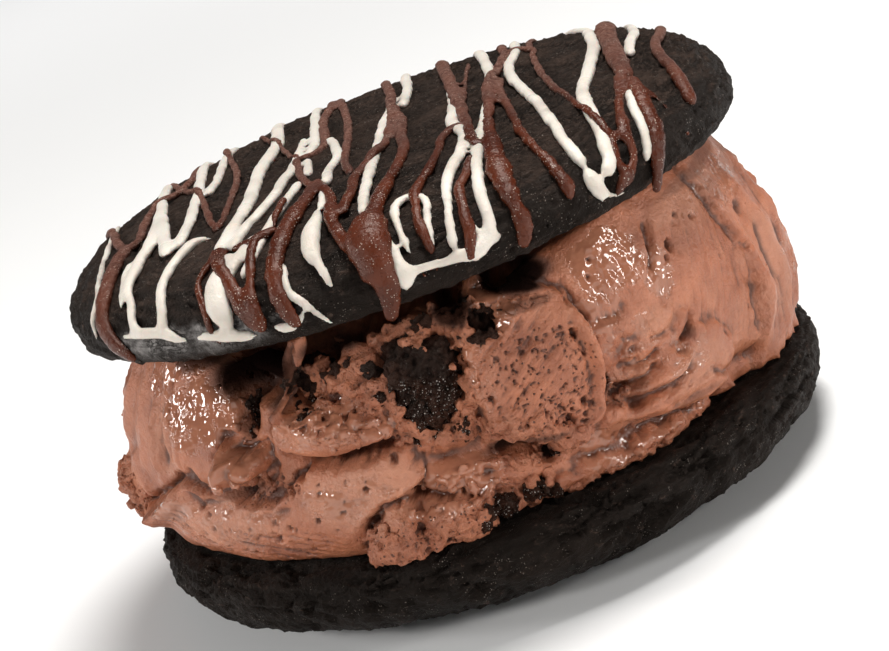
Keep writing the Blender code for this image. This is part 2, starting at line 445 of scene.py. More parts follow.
# Colours, as linear red, green, blue and alpha.
COOKIE_DARK = (0.0028, 0.0018, 0.0014, 1)
COOKIE_BROWN = (0.0085, 0.0052, 0.0039, 1)
# Painted light: the top cookie's upward faces, browner as the top light shows them.
COOKIE_TOP_LIGHT = (0.048, 0.0285, 0.0205, 1)
# Painted light: raised crumb, lighter as if light caught it.
COOKIE_RIDGE_LIGHT = (0.125, 0.080, 0.061, 1)
# Painted shade in the cookies' creases and hollows.
COOKIE_CREASE_SHADE = (0.002, 0.0013, 0.001, 1)
# Painted glints: pale specks on the cookies' grains.
COOKIE_GRAIN_GLINT = (0.42, 0.36, 0.31, 1)
COOKIE_VEIL = (0.56, 0.53, 0.51, 1)
COCOA_SHEEN = (1.0, 0.80, 0.68, 1.0)
CREAM_DARK = (0.29, 0.089, 0.041, 1)
CREAM_BODY = (0.47, 0.165, 0.081, 1)
CREAM_STREAK = (0.53, 0.222, 0.124, 1)
CREAM_MOTTLE = (0.235, 0.068, 0.031, 1)
CREAM_PALE = (0.54, 0.248, 0.150, 1)
CREAM_TORN = (0.53, 0.228, 0.128, 1)
CREAM_SCOOPED = (0.24, 0.075, 0.038, 1)
# Melted ice cream, greyed by a painted haze of its wet sheen.
CREAM_SOAKED_SHEEN = (0.33, 0.145, 0.090, 1)
# Painted shade in the ice cream's hollows.
CREAM_HOLLOW_SHADE = (0.075, 0.021, 0.010, 1)
# Painted shade: near-black in the gaps under the top cookie, the cave and the undercuts.
CREAM_GAP_SHADE = (0.012, 0.0034, 0.0018, 1)
# Painted shade inside the pores.
CREAM_PORE_SHADE = (0.06, 0.017, 0.008, 1)
CREAM_SHEEN = (1.0, 0.95, 0.92, 1.0)
BROWNIE_DARK = (0.014, 0.0050, 0.0030, 1)
BROWNIE_BROWN = (0.046, 0.0165, 0.0095, 1)
# Painted light: raised brownie crumb, lighter as if light caught it.
BROWNIE_RIDGE_LIGHT = (0.095, 0.034, 0.019, 1)
# Painted shade in the brownie's hollows.
BROWNIE_HOLLOW_SHADE = (0.0025, 0.0010, 0.0007, 1)
BROWNIE_GLINT = (0.86, 0.80, 0.74, 1)
# Painted glints: pale specks, as of fine crystals, on the chocolate.
CHOCOLATE_CRYSTAL_GLINT = (0.62, 0.50, 0.42, 1)
CHOCOLATE_SHEEN = (1.0, 0.86, 0.78, 1.0)

SHADER_PLACE = [("Vector", "NodeSocketVector", None)]


def speckle_group():
    """Sparse tiny specks: a mask, whose share and size are inputs."""
    inputs = SHADER_PLACE + numbers(Size=0.4, Share=0.05)
    outputs = [("Mask", "NodeSocketFloat")]
    graph, (at, size, share), exit_node = new_group("speckles", "ShaderNodeTree", inputs, outputs)
    spread = at * (1000.0 / size)
    near = graph.node("ShaderNodeTexVoronoi", Vector=spread, Scale=1.0)
    chance = graph.parts(graph.wire(near, "Color"))[0]
    chosen = graph.sum_of("LESS_THAN", chance, share)
    dot = graph.ramp(graph.wire(near, "Distance"), 0.32, 0.2)
    graph.fill(exit_node, Mask=chosen * dot)
    return graph.tree


def crumb_group():
    """Baked crumb, as on the cookies and the brownie: a height, and a mask of its creases, where the
    cookies paint shade.
    """
    inputs = SHADER_PLACE + numbers(Grain=0.5)
    outputs = [("Height", "NodeSocketFloat"), ("Hollows", "NodeSocketFloat")]
    graph, (at, grain), exit_node = new_group("crumb", "ShaderNodeTree", inputs, outputs)
    spread = at * (1.0 / grain)
    fine = graph.noise(spread, 0.8, 5, 0.7)
    pebbles = graph.cells(spread, 1.3, "SMOOTH_F1")
    broken = graph.noise(spread, 2.6, 4, 0.65, 0.5)
    creases = graph.ramp(graph.sum_of("ABSOLUTE", broken), 0.09, 0)
    patchy = graph.ramp(graph.noise(spread, 7, 2), -0.2, 0.35)
    height = fine * 0.7 - pebbles * 0.6 + broken * 0.8 - creases * patchy * 0.7
    graph.fill(exit_node, Height=height, Hollows=creases * patchy)
    return graph.tree


def start_material(name):
    made = bpy.data.materials.new(name)
    made.use_nodes = True
    graph = Graph(made.node_tree)
    shader = made.node_tree.nodes["Principled BSDF"]
    return made, graph, shader, graph.result("ShaderNodeTexCoord", "Object")


def attribute(graph, name):
    return graph.result("ShaderNodeAttribute", "Fac", {"attribute_name": name})


def group_node(graph, tree, **inputs):
    return graph.node("ShaderNodeGroup", {"node_tree": tree}, **inputs)


def speckled(graph, groups, at, size, share):
    """A mask of specks of a size in millimetres, in a share of the places they could have."""
    return graph.wire(group_node(graph, groups["speckles"], Vector=at, Size=size, Share=share), "Mask")


def bump(graph, shader, height, depth):
    """Feeds a height, in units of depth millimetres, to the shader's normal."""
    raised = {"Height": height, "Distance": depth * MM, "Strength": 1.0}
    graph.fill(shader, Normal=graph.result("ShaderNodeBump", "Normal", **raised))


def round_cookie(graph, at, drawn_in):
    """Places by direction, on a ring drawn in to a radius, and by length up the rim and over the dome.

    A pattern made on them comes out stretched round the cookie, with no seam."""
    x, y, z = graph.parts(at)
    reach = graph.high(graph.power(x * x + y * y, 0.5), 0.006)
    return graph.joined(x / reach * drawn_in, y / reach * drawn_in, z - reach)


def cookie_material(groups):
    """Dry black-cocoa crumb, with painted light: browner where it is raised and on the top cookie's
    upward faces, painted shade in its creases and hollows, and glints painted on pale grains.
    """
    made, graph, shader, at = start_material("dark_cookie_crumb")
    crumb = group_node(graph, groups["crumb"], Vector=at, Grain=0.6)
    height, creased = (graph.wire(crumb, name) for name in ("Height", "Hollows"))
    grains = speckled(graph, groups, at, 0.26, 0.35)
    hollow_shade = attribute(graph, "hollow_shade")
    veil = attribute(graph, "veil")
    crags = graph.noise(round_cookie(graph, at, 0.018), 1, 5, 0.7, 0.5)
    patchy = graph.ramp(graph.noise(at, 6, 2), -0.35, 0.25)
    cracks = graph.ramp(graph.sum_of("ABSOLUTE", crags), 0.085, 0) * patchy
    height = height * 0.75 + crags * 0.9 - cracks * 0.9
    creased = graph.high(creased, cracks)
    cloudy = graph.ramp(graph.noise(at, 9, 3), -0.5, 0.5)
    dark = graph.mix(cloudy, COOKIE_DARK, COOKIE_BROWN)
    # Painted light: the top cookie's upward faces are made browner, as top light shows them.
    painted_top_light = attribute(graph, "painted_top_light")
    dark = graph.mix(painted_top_light * graph.ramp(cloudy, 0, 1, 0.4, 1), dark, COOKIE_TOP_LIGHT)
    # Painted light: the raised crumb is made lighter, as if light caught it.
    raised = graph.mix(graph.ramp(height, 0, 0.7), dark, COOKIE_RIDGE_LIGHT)
    # Painted shade: creases and hollows are darkened.
    deep = graph.mix(graph.high(creased, hollow_shade), raised, COOKIE_CREASE_SHADE)
    grains = grains * graph.ramp(graph.noise(at, 3, 4, 0.7), -0.05, 0.3)
    # Painted glints on the grains.
    glint_painted = graph.mix(grains * 0.8, deep, COOKIE_GRAIN_GLINT)
    thin = veil * graph.ramp(height, -0.8, 0.4, 0.12, 0.95)
    rough = graph.mix(grains, graph.ramp(graph.noise(at, 1.2), -1, 1, 0.5, 0.75), 0.2)
    graph.fill(shader, Base_Color=graph.mix(thin, glint_painted, COOKIE_VEIL), Roughness=rough)
    graph.fill(shader, Specular_IOR_Level=0.25, Specular_Tint=COCOA_SHEEN)
    bump(graph, shader, height, 0.6)
    return made


def ice_cream_material():
    """Chocolate ice cream: satin where it is firm, wet and darker where it melts, where a greyer brown
    also paints in the haze of its sheen.

    Painted shade darkens its hollows, its pores and the gaps under the top cookie. Those darkest
    painted gaps count as metallic, which only takes the sheen off their black."""
    made, graph, shader, at = start_material("chocolate_ice_cream")
    fields = ("wet", "ragged", "porous", "pale", "hollow_shade", "dark")
    wet, ragged, porous, pale, hollow_shade, dark = (attribute(graph, name) for name in fields)
    x, y, z = graph.parts(at)
    streak = graph.noise(at * (1, 1, 0.4), 2.6, 3, 0.6)
    broad = graph.noise(at, 6, 4, 0.6)
    mottle = graph.noise(at, 1.3, 3, 0.6)
    fine = graph.noise(at, 0.45, 4, 0.65)
    along = (x * math.cos(SCOOPED) + z * math.sin(SCOOPED)) * 0.16
    across = z * math.cos(SCOOPED) - x * math.sin(SCOOPED)
    scooped = graph.noise(graph.joined(along, y * 0.5, across), 0.75, 3, 0.6, 0.3) * porous
    body = graph.mix(graph.ramp(broad, -0.5, 0.5), CREAM_DARK, CREAM_BODY)
    body = graph.mix(graph.ramp(streak, 0, 0.6) * 0.45, body, CREAM_STREAK)
    body = graph.mix(graph.ramp(mottle, 0, 0.8) * 0.35, body, CREAM_MOTTLE)
    body = graph.mix(pale * graph.ramp(mottle, -0.8, 0.6, 0.85, 0.5), body, CREAM_PALE)
    body = graph.mix(ragged * graph.ramp(fine, -0.1, 0.7) * 0.4, body, CREAM_TORN)
    body = graph.mix(graph.ramp(scooped, 0.05, 0.5) * 0.4, body, CREAM_SCOOPED)
    soaked = wet * 0.8 + ragged * 0.1 + graph.noise(at, 1.6, 3, 0.65) * 0.9 + 0.07
    soaked = graph.ramp(soaked, 0.32, 0.62)
    # Melted ice cream: a greyer brown that paints in the haze of its sheen.
    body = graph.mix(soaked * 0.6, body, CREAM_SOAKED_SHEEN)
    # Painted shade in the hollows.
    body = graph.mix(graph.ramp(hollow_shade, 0, 1, 0, 0.9), body, CREAM_HOLLOW_SHADE)
    # Painted shade: the dark patches mix the ice cream to near-black where gaps and undercuts lie in
    # shadow.
    body = graph.mix(dark, body, CREAM_GAP_SHADE)
    bent = at + graph.joined(fine, mottle, streak) * 0.0001
    pores = graph.ramp(graph.cells(bent, 0.5), 0.34, 0.18)
    pores = pores * graph.sum_of("LESS_THAN", graph.cell_random(bent, 0.5), 0.3)
    pores = pores * graph.high(porous, ragged * 0.5)
    # Painted shade inside the pores.
    body = graph.mix(pores * 0.85, body, CREAM_PORE_SHADE)
    dry = graph.mix(graph.high(ragged, porous), 0.38, 0.46)
    dry = graph.mix(dark, dry, 0.95)
    # The painted shade is made metallic where darkest, which takes the sheen off its black.
    graph.fill(
        shader,
        Base_Color=body,
        Metallic=graph.ramp(dark, 0.6, 1, 0, 0.9),
        Roughness=graph.mix(soaked, dry, 0.07),
        Subsurface_Weight=0.08,
        Subsurface_Scale=0.001,
        Subsurface_Radius=(1.0, 0.42, 0.24),
        Specular_IOR_Level=0.65,
        Specular_Tint=CREAM_SHEEN,
    )
    firm = fine * 0.3 + mottle * 0.3 + streak * 0.4 - pores * 1.0 - scooped * 0.5
    firm = firm + ragged * graph.noise(at, 0.35, 3, 0.6) * 0.5
    melted = graph.noise(at, 1.25, 1, 0.5) * 0.42 + mottle * 0.06
    bump(graph, shader, graph.mix(soaked, firm, melted), 0.4)
    return made


def brownie_material(groups):
    """Moist brownie crumb: nearly black, with wet glints on its grains."""
    made, graph, shader, at = start_material("moist_brownie")
    height = graph.wire(group_node(graph, groups["crumb"], Vector=at, Grain=0.3), "Height")
    moist = attribute(graph, "wet")
    glints = speckled(graph, groups, at, 0.32, 0.8)
    glints = glints * graph.ramp(graph.noise(at, 1.3, 3, 0.65), -0.12, 0.12)
    hollow_shade = attribute(graph, "hollow_shade")
    patch = graph.ramp(graph.noise(at, 3, 3), -0.3, 0.25)
    soaked = graph.ramp(moist + graph.noise(at, 1.8, 3) * 0.5, 0.2, 0.7)
    body = graph.mix(patch, BROWNIE_DARK, BROWNIE_BROWN)
    # Painted light on the raised crumb.
    body = graph.mix(graph.ramp(height, 0.1, 0.9) * 0.8, body, BROWNIE_RIDGE_LIGHT)
    # Painted shade in the hollows.
    body = graph.mix(graph.ramp(hollow_shade, 0, 0.8), body, BROWNIE_HOLLOW_SHADE)
    body = graph.mix(glints * soaked * 0.9, body, BROWNIE_GLINT)
    graph.fill(shader, Base_Color=body, Roughness=graph.mix(soaked, 0.5, 0.11))
    graph.fill(shader, Specular_IOR_Level=0.4, Specular_Tint=COCOA_SHEEN)
    bump(graph, shader, height + glints * 0.6, 0.6)
    return made


def chocolate_material(name, thin, thick, frost_and_sheen, film, grit, groups):
    """Set chocolate: satin with fine crystal specks whose glints are painted, duller where it bloomed,
    darker at its thin edges, and paler towards the back, partly from blooming and partly from a
    painted sheen of glancing light.

    It takes the colours of thin and thick chocolate, of its bloomed and sheened look and of a film on
    the cookie, and how gritty the surface is, from 0 to 1."""
    made, graph, shader, at = start_material(name)
    grain = graph.noise(at, 0.5, 4, 0.65)
    broad = graph.ramp(graph.noise(at, 5, 2), -0.4, 0.4)
    bloom_and_sheen = attribute(graph, "bloom_and_sheen")
    beads = speckled(graph, groups, at, 0.3, 0.65)
    body = graph.mix(broad, thin, thick)
    frost_and_sheen_share = bloom_and_sheen * graph.ramp(grain, -0.25, 0.3)
    # Blooming, and a painted sheen of glancing light, towards the back.
    body = graph.mix(frost_and_sheen_share, body, frost_and_sheen)
    body = graph.mix(attribute(graph, "thin") * 0.75, body, film)
    # Painted glints: pale crystal specks.
    crystal_glints = beads * graph.ramp(graph.noise(at, 1.6, 3), -0.1, 0.15) * grit
    body = graph.mix(crystal_glints * 0.8, body, CHOCOLATE_CRYSTAL_GLINT)
    graph.fill(shader, Base_Color=body, Roughness=graph.mix(bloom_and_sheen, 0.24, 0.6))
    graph.fill(shader, Specular_IOR_Level=0.3, Specular_Tint=CHOCOLATE_SHEEN)
    bump(graph, shader, grain * 0.5 + (beads * 0.9 + bloom_and_sheen * grain * 1.6) * grit, 0.16)
    return made


def make_materials():
    groups = {"speckles": speckle_group(), "crumb": crumb_group()}
    white = chocolate_material(
        "white_chocolate",
        thin=(0.60, 0.545, 0.475, 1),
        thick=(0.73, 0.68, 0.605, 1),
        frost_and_sheen=(0.60, 0.56, 0.52, 1),
        film=(0.30, 0.265, 0.235, 1),
        grit=0.0,
        groups=groups,
    )
    white_shader = white.node_tree.nodes["Principled BSDF"]
    Graph(white.node_tree).fill(white_shader, Subsurface_Weight=0.15, Subsurface_Scale=0.0012)
    milk = chocolate_material(
        "milk_chocolate",
        thin=(0.052, 0.0098, 0.0034, 1),
        thick=(0.092, 0.0195, 0.007, 1),
        frost_and_sheen=(0.21, 0.102, 0.075, 1),
        film=(0.03, 0.008, 0.004, 1),
        grit=1.0,
        groups=groups,
    )
    return {
        "cookie": cookie_material(groups),
        "ice_cream": ice_cream_material(),
        "brownie": brownie_material(groups),
        "white": white,
        "milk": milk,
    }


# ---- Cookies ----


def cookie_relief(graph, at, pebble, crag, seam):
    """Pebbles, crags drawn out round the cookie, and long seams that run round it."""
    lumps = graph.noise(at, 7, 2) * 0.22 + graph.noise(at, 2.4, 4, 0.6) * pebble
    pebbles = (0.4 - graph.cells(at, 1.5, "SMOOTH_F1")) * pebble
    crags = graph.noise(round_cookie(graph, at, 0.017), 1.7, 4, 0.65, 0.7)
    waves = graph.noise(round_cookie(graph, at, 0.006), 2.3, 3, 0.6, 0.6)
    patchy = graph.ramp(graph.noise(at, 8, 2), -0.2, 0.3)
    seams = graph.ramp(graph.sum_of("ABSOLUTE", waves), 0.1, 0) * patchy
    return lumps + pebbles + crags * crag + (waves * 0.4 - seams) * seam


def cookie_piece(node, crag, seam):
    """A cookie's crumb. The bottom one doesn't go below the flat that the sandwich stands on."""
    mesh = remeshed(merged_copy([node]), COOKIE_VOXEL, smoothing=6)
    tree = relief_tree(node + "_relief", cookie_relief, Pebble=0.16, Crag=0.3, Seam=0.2)
    mesh = run_tree(tree, mesh, Pebble=0.3, Crag=crag, Seam=seam)
    if node == "bottom_cookie":
        points = points_of(mesh)
        points[:, 2] = np.maximum(points[:, 2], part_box(node)[0].z)
        set_points(mesh, points)
    return mesh


def hollows(mesh, rounds, depth):
    """How far each place lies below its surroundings, as a share of a depth in millimetres. The
    materials paint shade by it.
    """
    points = points_of(mesh)
    below = ((evened(mesh, points, rounds) - points) * normals_of(mesh)).sum(1)
    return np.clip(below / (depth * MM), 0.0, 1.0)


def cookies(materials):
    """Makes both cookies, and gives the top one's surface for the drizzle to lie on."""
    for node, crag, seam in (("bottom_cookie", 1.1, 1.2), ("top_cookie", 0.8, 0.5)):
        mesh = cookie_piece(node, crag, seam)
        # Painted shade: how deep each place lies, for the material to darken.
        set_field(mesh, "hollow_shade", hollows(mesh, rounds=12, depth=0.35))
        on_top = 1.0 if node == "top_cookie" else 0.0
        # Painted light on the top cookie's faces that look up.
        set_field(mesh, "painted_top_light", on_top * eased(normals_of(mesh)[:, 2], 0.6, 0.98))
        set_field(mesh, "veil", on_top * white_veil(mesh))
        finished(node + "_crumb", mesh, materials["cookie"], "dark_cookie", node)
    return shell_of(mesh)


def top_cookie_matrix():
    """The top cookie's own frame, in millimetres, to the row frame in metres."""
    tilt_x, tilt_y = (math.radians(t) for t in TOP_TILT)
    turn = Matrix.Rotation(tilt_y, 4, "Y") @ Matrix.Rotation(tilt_x, 4, "X")
    return Matrix.Scale(MM, 4) @ Matrix.Translation(TOP_AT) @ turn


# Where a thin veil of white chocolate was smeared down the top cookie's rim: (from azimuth, to
# azimuth, highest, lowest, strength).
VEILS = (
    (-58, -38, 4.5, 0.3, 0.75),
    (-41, -24, 4.4, 0.2, 1),
    (-26, -18, 4, 1.6, 0.5),
    (-5, 0, 4, 1.2, 0.4),
)
VEIL_FADE = 4.0  # the degrees over which a veil's sides run out
VEIL_DEPTH = 2.0  # how far in from the rim a veil reaches


def white_veil(mesh):
    """How strongly the smeared veil covers each place of the top cookie, from 0 to 1."""
    to_cookie = np.array(top_cookie_matrix().inverted())
    points = points_of(mesh) @ to_cookie[:3, :3].T + to_cookie[:3, 3]
    x, y, z = points.T
    azimuth = np.degrees(np.arctan2(x, -y))
    ragged = np.array([noise.noise(Vector(p)) for p in points * 0.9])
    veil = np.zeros(len(points))
    for start, end, high, low, strength in VEILS:
        across = eased(azimuth + 2.0 * ragged, start, start + VEIL_FADE)
        across = across * eased(azimuth, end, end - VEIL_FADE)
        up = eased(z, low, low + 0.75 * (high - low)) * eased(z + 0.8 * ragged, high + 0.7, high - 0.3)
        rim = np.hypot(x, y) > EDGE_REACH - VEIL_DEPTH
        veil = np.maximum(veil, strength * across * up * rim)
    return veil


# ---- Ice cream ----

# Single lumps of ice cream: (azimuth, height, how far the middle stands out of the slab, half its
# size across, out and up, its turn to the right in degrees).
LUMPS = (
    (97.5, 14.2, 0.6, 1.3, 1.3, 1.1, 0),  # a nub at the right
    (-86, 21.2, 0.4, 2.4, 1.7, 1.6, 20),  # the torn blob at the left
    (-84, 18.2, 0.9, 2, 1.4, 1.3, -10),
    (-82, 15.6, 0.8, 1.8, 1.3, 1.2, 0),
    (-88, 31.5, 0.2, 1.6, 1, 1.4, 10),
    (-86, 28.6, 0.3, 1.4, 0.9, 1, 0),
    (-80, 24, 0.1, 2, 1.2, 2.2, 0),
    (32.5, 26.7, 0, 1.5, 0.8, 0.8, -15),  # nodules at the right
    (35.2, 27.6, 0.2, 0.8, 0.7, 0.7, 0),
    (25, 28, -0.2, 2.6, 1.2, 2.2, 0),
    (-44.2, 26.3, 0.4, 1.8, 1.5, 2, -20),  # the glossy lump left of the middle
    (-41.4, 25.4, 0.4, 1.2, 1.1, 0.9, 10),
    (-40.2, 26.9, 0.2, 0.8, 0.7, 0.6, 0),
    (8, 37.4, -2.4, 1.8, 1.6, 2.6, 8),  # a smooth bulge in the gap at the top
    (12, 34.9, -0.9, 2.8, 1.4, 1.3, -34),
    (16.4, 36.8, -0.8, 2, 1.6, 2.2, 10),
    (-3.2, 24, 0.1, 1.2, 0.9, 0.9, 20),  # bits that hold the brownie from below
    (-7, 24.3, 0.5, 1.1, 0.9, 0.9, -10),
    (-9.4, 25, 0.3, 0.9, 0.8, 0.8, 0),
    (-12.4, 26.4, 0.1, 1.2, 1, 1.1, -30),
    (-1.6, 26.6, -0.2, 0.8, 0.8, 1.5, 10),
    (-0.8, 29.4, -0.1, 0.7, 0.7, 1.2, -8),
    (3.2, 24.4, 0.5, 2.6, 1.2, 0.9, 10),  # the torn flap under the scoop's face
    (7.2, 23.2, 0.6, 2.2, 1.2, 0.9, 22),
    (10.4, 21.4, 0.4, 1.6, 1.2, 1.2, 35),
    (13.2, 19.4, 0.1, 1.5, 1.2, 1.5, 35),
)

# Rolls and folds of ice cream: paths of (azimuth, height, how far the middle stands out of the
# slab, half thickness).
ROLLS = (
    # The folded tongue, with the shoulder that it comes from.
    ((-36.5, 31.6, -1, 0.9), (-33.4, 30, -0.2, 1.5), (-29, 29.2, 0.1, 1.8), (-24.5, 28.9, 0.1, 1.7),
     (-20, 27.9, 0, 1.5), (-16.4, 26.9, -0.2, 1.2), (-14.2, 26.4, -0.5, 0.8)),
    ((-38.4, 33.8, -1.8, 1.2), (-39.4, 31, -1.1, 1.6), (-38.2, 28.6, -1.1, 1.5)),
    # The drapes at the left.
    ((-66, 35.6, -0.8, 1), (-66.6, 31, 0, 1.3), (-67.2, 26, 0.1, 1.3), (-68.4, 22.6, -0.2, 1)),
    ((-74, 35.4, -0.7, 1.2), (-75, 30.6, 0.1, 1.5), (-76.4, 26, 0.1, 1.4), (-78, 22.6, -0.1, 1)),
    ((-82, 35.6, -0.4, 1.2), (-83.4, 31, 0.3, 1.4), (-84, 27, 0.2, 1.4)),
    # The lip at the lower left.
    ((-57, 23, -0.3, 1.3), (-63, 21.2, 0.3, 1.6), (-69, 19.4, 0.5, 1.7), (-76, 17.6, 0.7, 1.7),
     (-82, 15.8, 0.6, 1.5)),
    # The scoop's rim.
    ((15.4, 37, -1, 0.7), (17.8, 35, -0.2, 0.62), (19.4, 31.6, 0.1, 0.6), (19.9, 28, 0.15, 0.6),
     (19.6, 24.4, 0.1, 0.6), (18, 21.2, 0.05, 0.6), (15.2, 18.6, 0, 0.6), (11.6, 17, -0.3, 0.5)),
    # The folds at the right: over and under the smiling crease.
    ((22.8, 26.4, -0.7, 0.8), (26.4, 25.4, -0.2, 1.1), (31, 24.4, 0, 1.3), (36.4, 23.6, -0.1, 1.3),
     (40.6, 24.6, -0.3, 1.2)),
    ((22.2, 19.2, -0.6, 1), (26.6, 18.2, 0, 1.6), (32, 17.6, 0.3, 1.9), (38, 17, 0.3, 1.9),
     (43.6, 16.8, 0, 1.6)),
    ((36.8, 38.6, -0.8, 0.8), (36.2, 36.2, -0.1, 1), (34.8, 33.4, 0, 1), (33.4, 31, -0.3, 0.8)),
    ((56, 34, -0.6, 1.3), (57.6, 28, -0.1, 1.7), (58.8, 22, 0.1, 1.8), (57.4, 17, 0, 1.4)),
    ((66, 36, -0.6, 1.3), (67.6, 29, -0.1, 1.8), (68.6, 22, 0.1, 1.8), (67, 15.4, 0, 1.4)),
    ((78, 35.6, -0.4, 1.4), (79, 28, 0.2, 1.8), (80, 21, 0.3, 1.8), (79, 15, 0.2, 1.4)),
    # The wet middle of the front, under the brownie.
    ((-10, 19.4, -0.4, 1.1), (-5.6, 18.8, 0, 1.4), (-0.8, 19, -0.1, 1.3), (3.4, 17.8, -0.3, 1)),
    ((-3, 17, -0.2, 0.8), (2, 16.6, 0.1, 1), (7, 16, 0, 1), (11, 15.2, -0.2, 0.8)),
    # The back.
    ((104, 35, -0.5, 1.3), (106, 29, 0.2, 2), (112, 23.6, 0.4, 2.2), (122, 20.4, 0.4, 2),
     (134, 19.4, 0, 1.4)),
    ((138, 36, -0.6, 1.2), (141, 30.4, 0.2, 1.7), (150, 27.6, 0.4, 1.9), (162, 28.6, 0, 1.4)),
    ((150, 16.4, -0.2, 1.4), (164, 15.4, 0.3, 1.7), (180, 15.8, 0.3, 1.7), (196, 15, 0, 1.4)),
    ((-170, 24.6, -0.2, 1.2), (-158, 22.8, 0.3, 1.7), (-146, 23.8, 0.4, 1.8), (-134, 22, 0, 1.3)),
    ((-128, 35.6, -0.5, 1.2), (-125, 29, 0.3, 1.8), (-128, 23, 0.2, 1.6), (-126, 16, 0, 1.3)),
    ((-108, 35, -0.5, 1.3), (-107, 29, 0.3, 1.7), (-109, 22, 0.3, 1.7), (-106, 15.6, 0, 1.3)),
)

# Shelves: parts of the side that stand out in front of the rest, with a steep and uneven edge:
# (rise, width of the edge, wobble, depth of the groove outside the edge, outline of (azimuth,
# height)).
SHELVES = (
    # The scoop's face and the torn ice cream below it.
    (1.3, 0.5, 0.7, 0.5, ((0.6, 33), (1.6, 36), (6, 37.8), (14, 38.4), (19.5, 35.4), (20.3, 30),
     (20.1, 25), (18.5, 21.2), (15, 18.2), (11.4, 17.9), (8.6, 19.6), (5.6, 20.9), (2.2, 22),
     (-0.3, 22.8), (0.7, 25.2), (-0.1, 28.5), (0.7, 31))),
    # The tongue.
    (1.4, 0.5, 0.25, 0.8, ((-36, 31.6), (-33, 32.4), (-27, 31.6), (-20, 30.4), (-15.5, 28.6),
     (-14.4, 26.8), (-17, 26.4), (-21, 25.8), (-25, 25.4), (-30, 26), (-34.4, 27.3), (-36.4, 29.6))),
    # Crumbly ice cream left of the brownie.
    (1, 0.45, 0.8, 0.3, ((-27, 40), (-28, 33), (-29, 30.9), (-24, 30.3), (-20, 30.4), (-17, 29.2),
     (-14.4, 27.6), (-13.4, 31), (-14.6, 40))),
    # The lump left of the middle, and the glossy bulge above it.
    (0.9, 0.6, 0.8, 0.7, ((-47.2, 26.8), (-46, 29), (-44.4, 28.4), (-42.4, 27), (-39.6, 27.2),
     (-39, 25.8), (-40.4, 24.8), (-42.6, 24), (-44.6, 23), (-46.2, 24.2), (-46.8, 25.6))),
    (1, 1.2, 0.6, 0.4, ((-57.6, 42), (-58.6, 36), (-58.2, 31), (-59.4, 27), (-57, 24.6), (-52, 23),
     (-47, 22.6), (-44.6, 26), (-43, 29), (-43.4, 32), (-44.6, 35), (-46, 42))),
    # The lower left, which laps over what is above it, and the smooth bulge that it runs into.
    (1.1, 0.6, 0.9, 0.5, ((-92, 16), (-75, 19.4), (-66, 21.7), (-60, 24.2), (-55.5, 25.2), (-51, 23),
     (-46, 22), (-40, 21), (-35.6, 22.2), (-31, 24.6), (-24, 24.4), (-17, 24.8), (-13.4, 24.6),
     (-12.4, 21.6), (-14.6, 18.8), (-16, 10), (-92, 10))),
    # The folds at the lower right, and the lip at the foot.
    (0.9, 2, 0.9, 0.1, ((20.4, 19.6), (23, 21.6), (27, 23), (31, 22.6), (36.2, 22.2), (40, 23.6),
     (44, 23), (47.6, 20.4), (47, 16.6), (43, 14.6), (38.8, 14.1), (34, 14.9), (30, 15.7), (24.2, 16.7),
     (19.8, 17.6))),
    (0.8, 1.1, 0.9, 0.15, ((4, 10), (43, 10), (43.6, 13.4), (40, 13.2), (36, 14), (31, 13.8), (28, 14.7),
     (22, 14.1), (16, 15), (11, 14.4), (5, 14.4))),
    # The torn foot.
    (1, 0.45, 0.9, 0.5, ((-24, 10), (-24.5, 15), (-22, 16.8), (-19, 18.2), (-14, 18.4), (-10, 17.2),
     (-5, 16.4), (-2.8, 15), (-3.4, 10))),
    # Layers at the far right.
    (0.7, 0.7, 0.7, 0.3, ((54.6, 42), (55.4, 34), (58.4, 28), (56.8, 22), (58, 16), (57, 10), (110, 10),
     (104, 20), (100, 30), (98, 42))),
    # The back.
    (1.3, 0.7, 0.6, 0.6, ((112, 10), (110, 18), (118, 23), (130, 24.4), (142, 21), (150, 17), (152, 10))),
    (1, 2, 1, 0.1, ((167, 30), (169, 26.6), (177, 24.2), (188, 25), (199, 28.2), (203, 32.4), (196, 35.6),
     (184, 34.6), (174, 32.6))),
    (1.1, 0.7, 0.6, 0.5, ((-152, 10), (-150, 17), (-138, 20.4), (-124, 18), (-114, 14), (-112, 10))),
)

# Fine parallel lines that a spatula or the scoop left: (azimuth, height, half width, half height,
# slope in degrees, spacing, depth).
COMBS = (
    (10, 28.6, 6.8, 8, 38, 1.1, 0.13),
    (3.4, 25, 2.6, 3.2, 62, 0.9, 0.12),
    (-44, 15.4, 10, 3.2, -24, 1, 0.2),
    (-64, 18, 6, 3.6, -30, 1.2, 0.2),
    (-62, 30, 5, 5.4, 82, 1.5, 0.16),
    (-24, 20.4, 8, 4.4, -10, 1.4, 0.08),
    (-26, 29, 6.6, 1.8, -12, 0.9, 0.08),
    (46, 30, 7.4, 8, 72, 1.5, 0.09),
    (60, 21, 6.4, 6.6, 86, 1.3, 0.12),
    (33, 18.4, 8, 2.6, 14, 1, 0.11),
    (28, 30, 4.6, 7, 100, 1.3, 0.07),
    (24, 13.4, 12, 1.4, 6, 0.8, 0.08),
    (82, 26, 9, 10, 80, 1.8, 0.12),
    (130, 27, 12, 8, 24, 1.4, 0.12),
    (180, 20, 14, 6, -16, 1.4, 0.12),
    (-140, 28, 12, 6, 30, 1.4, 0.12),
    (-100, 24, 8, 9, 78, 1.5, 0.12),
)

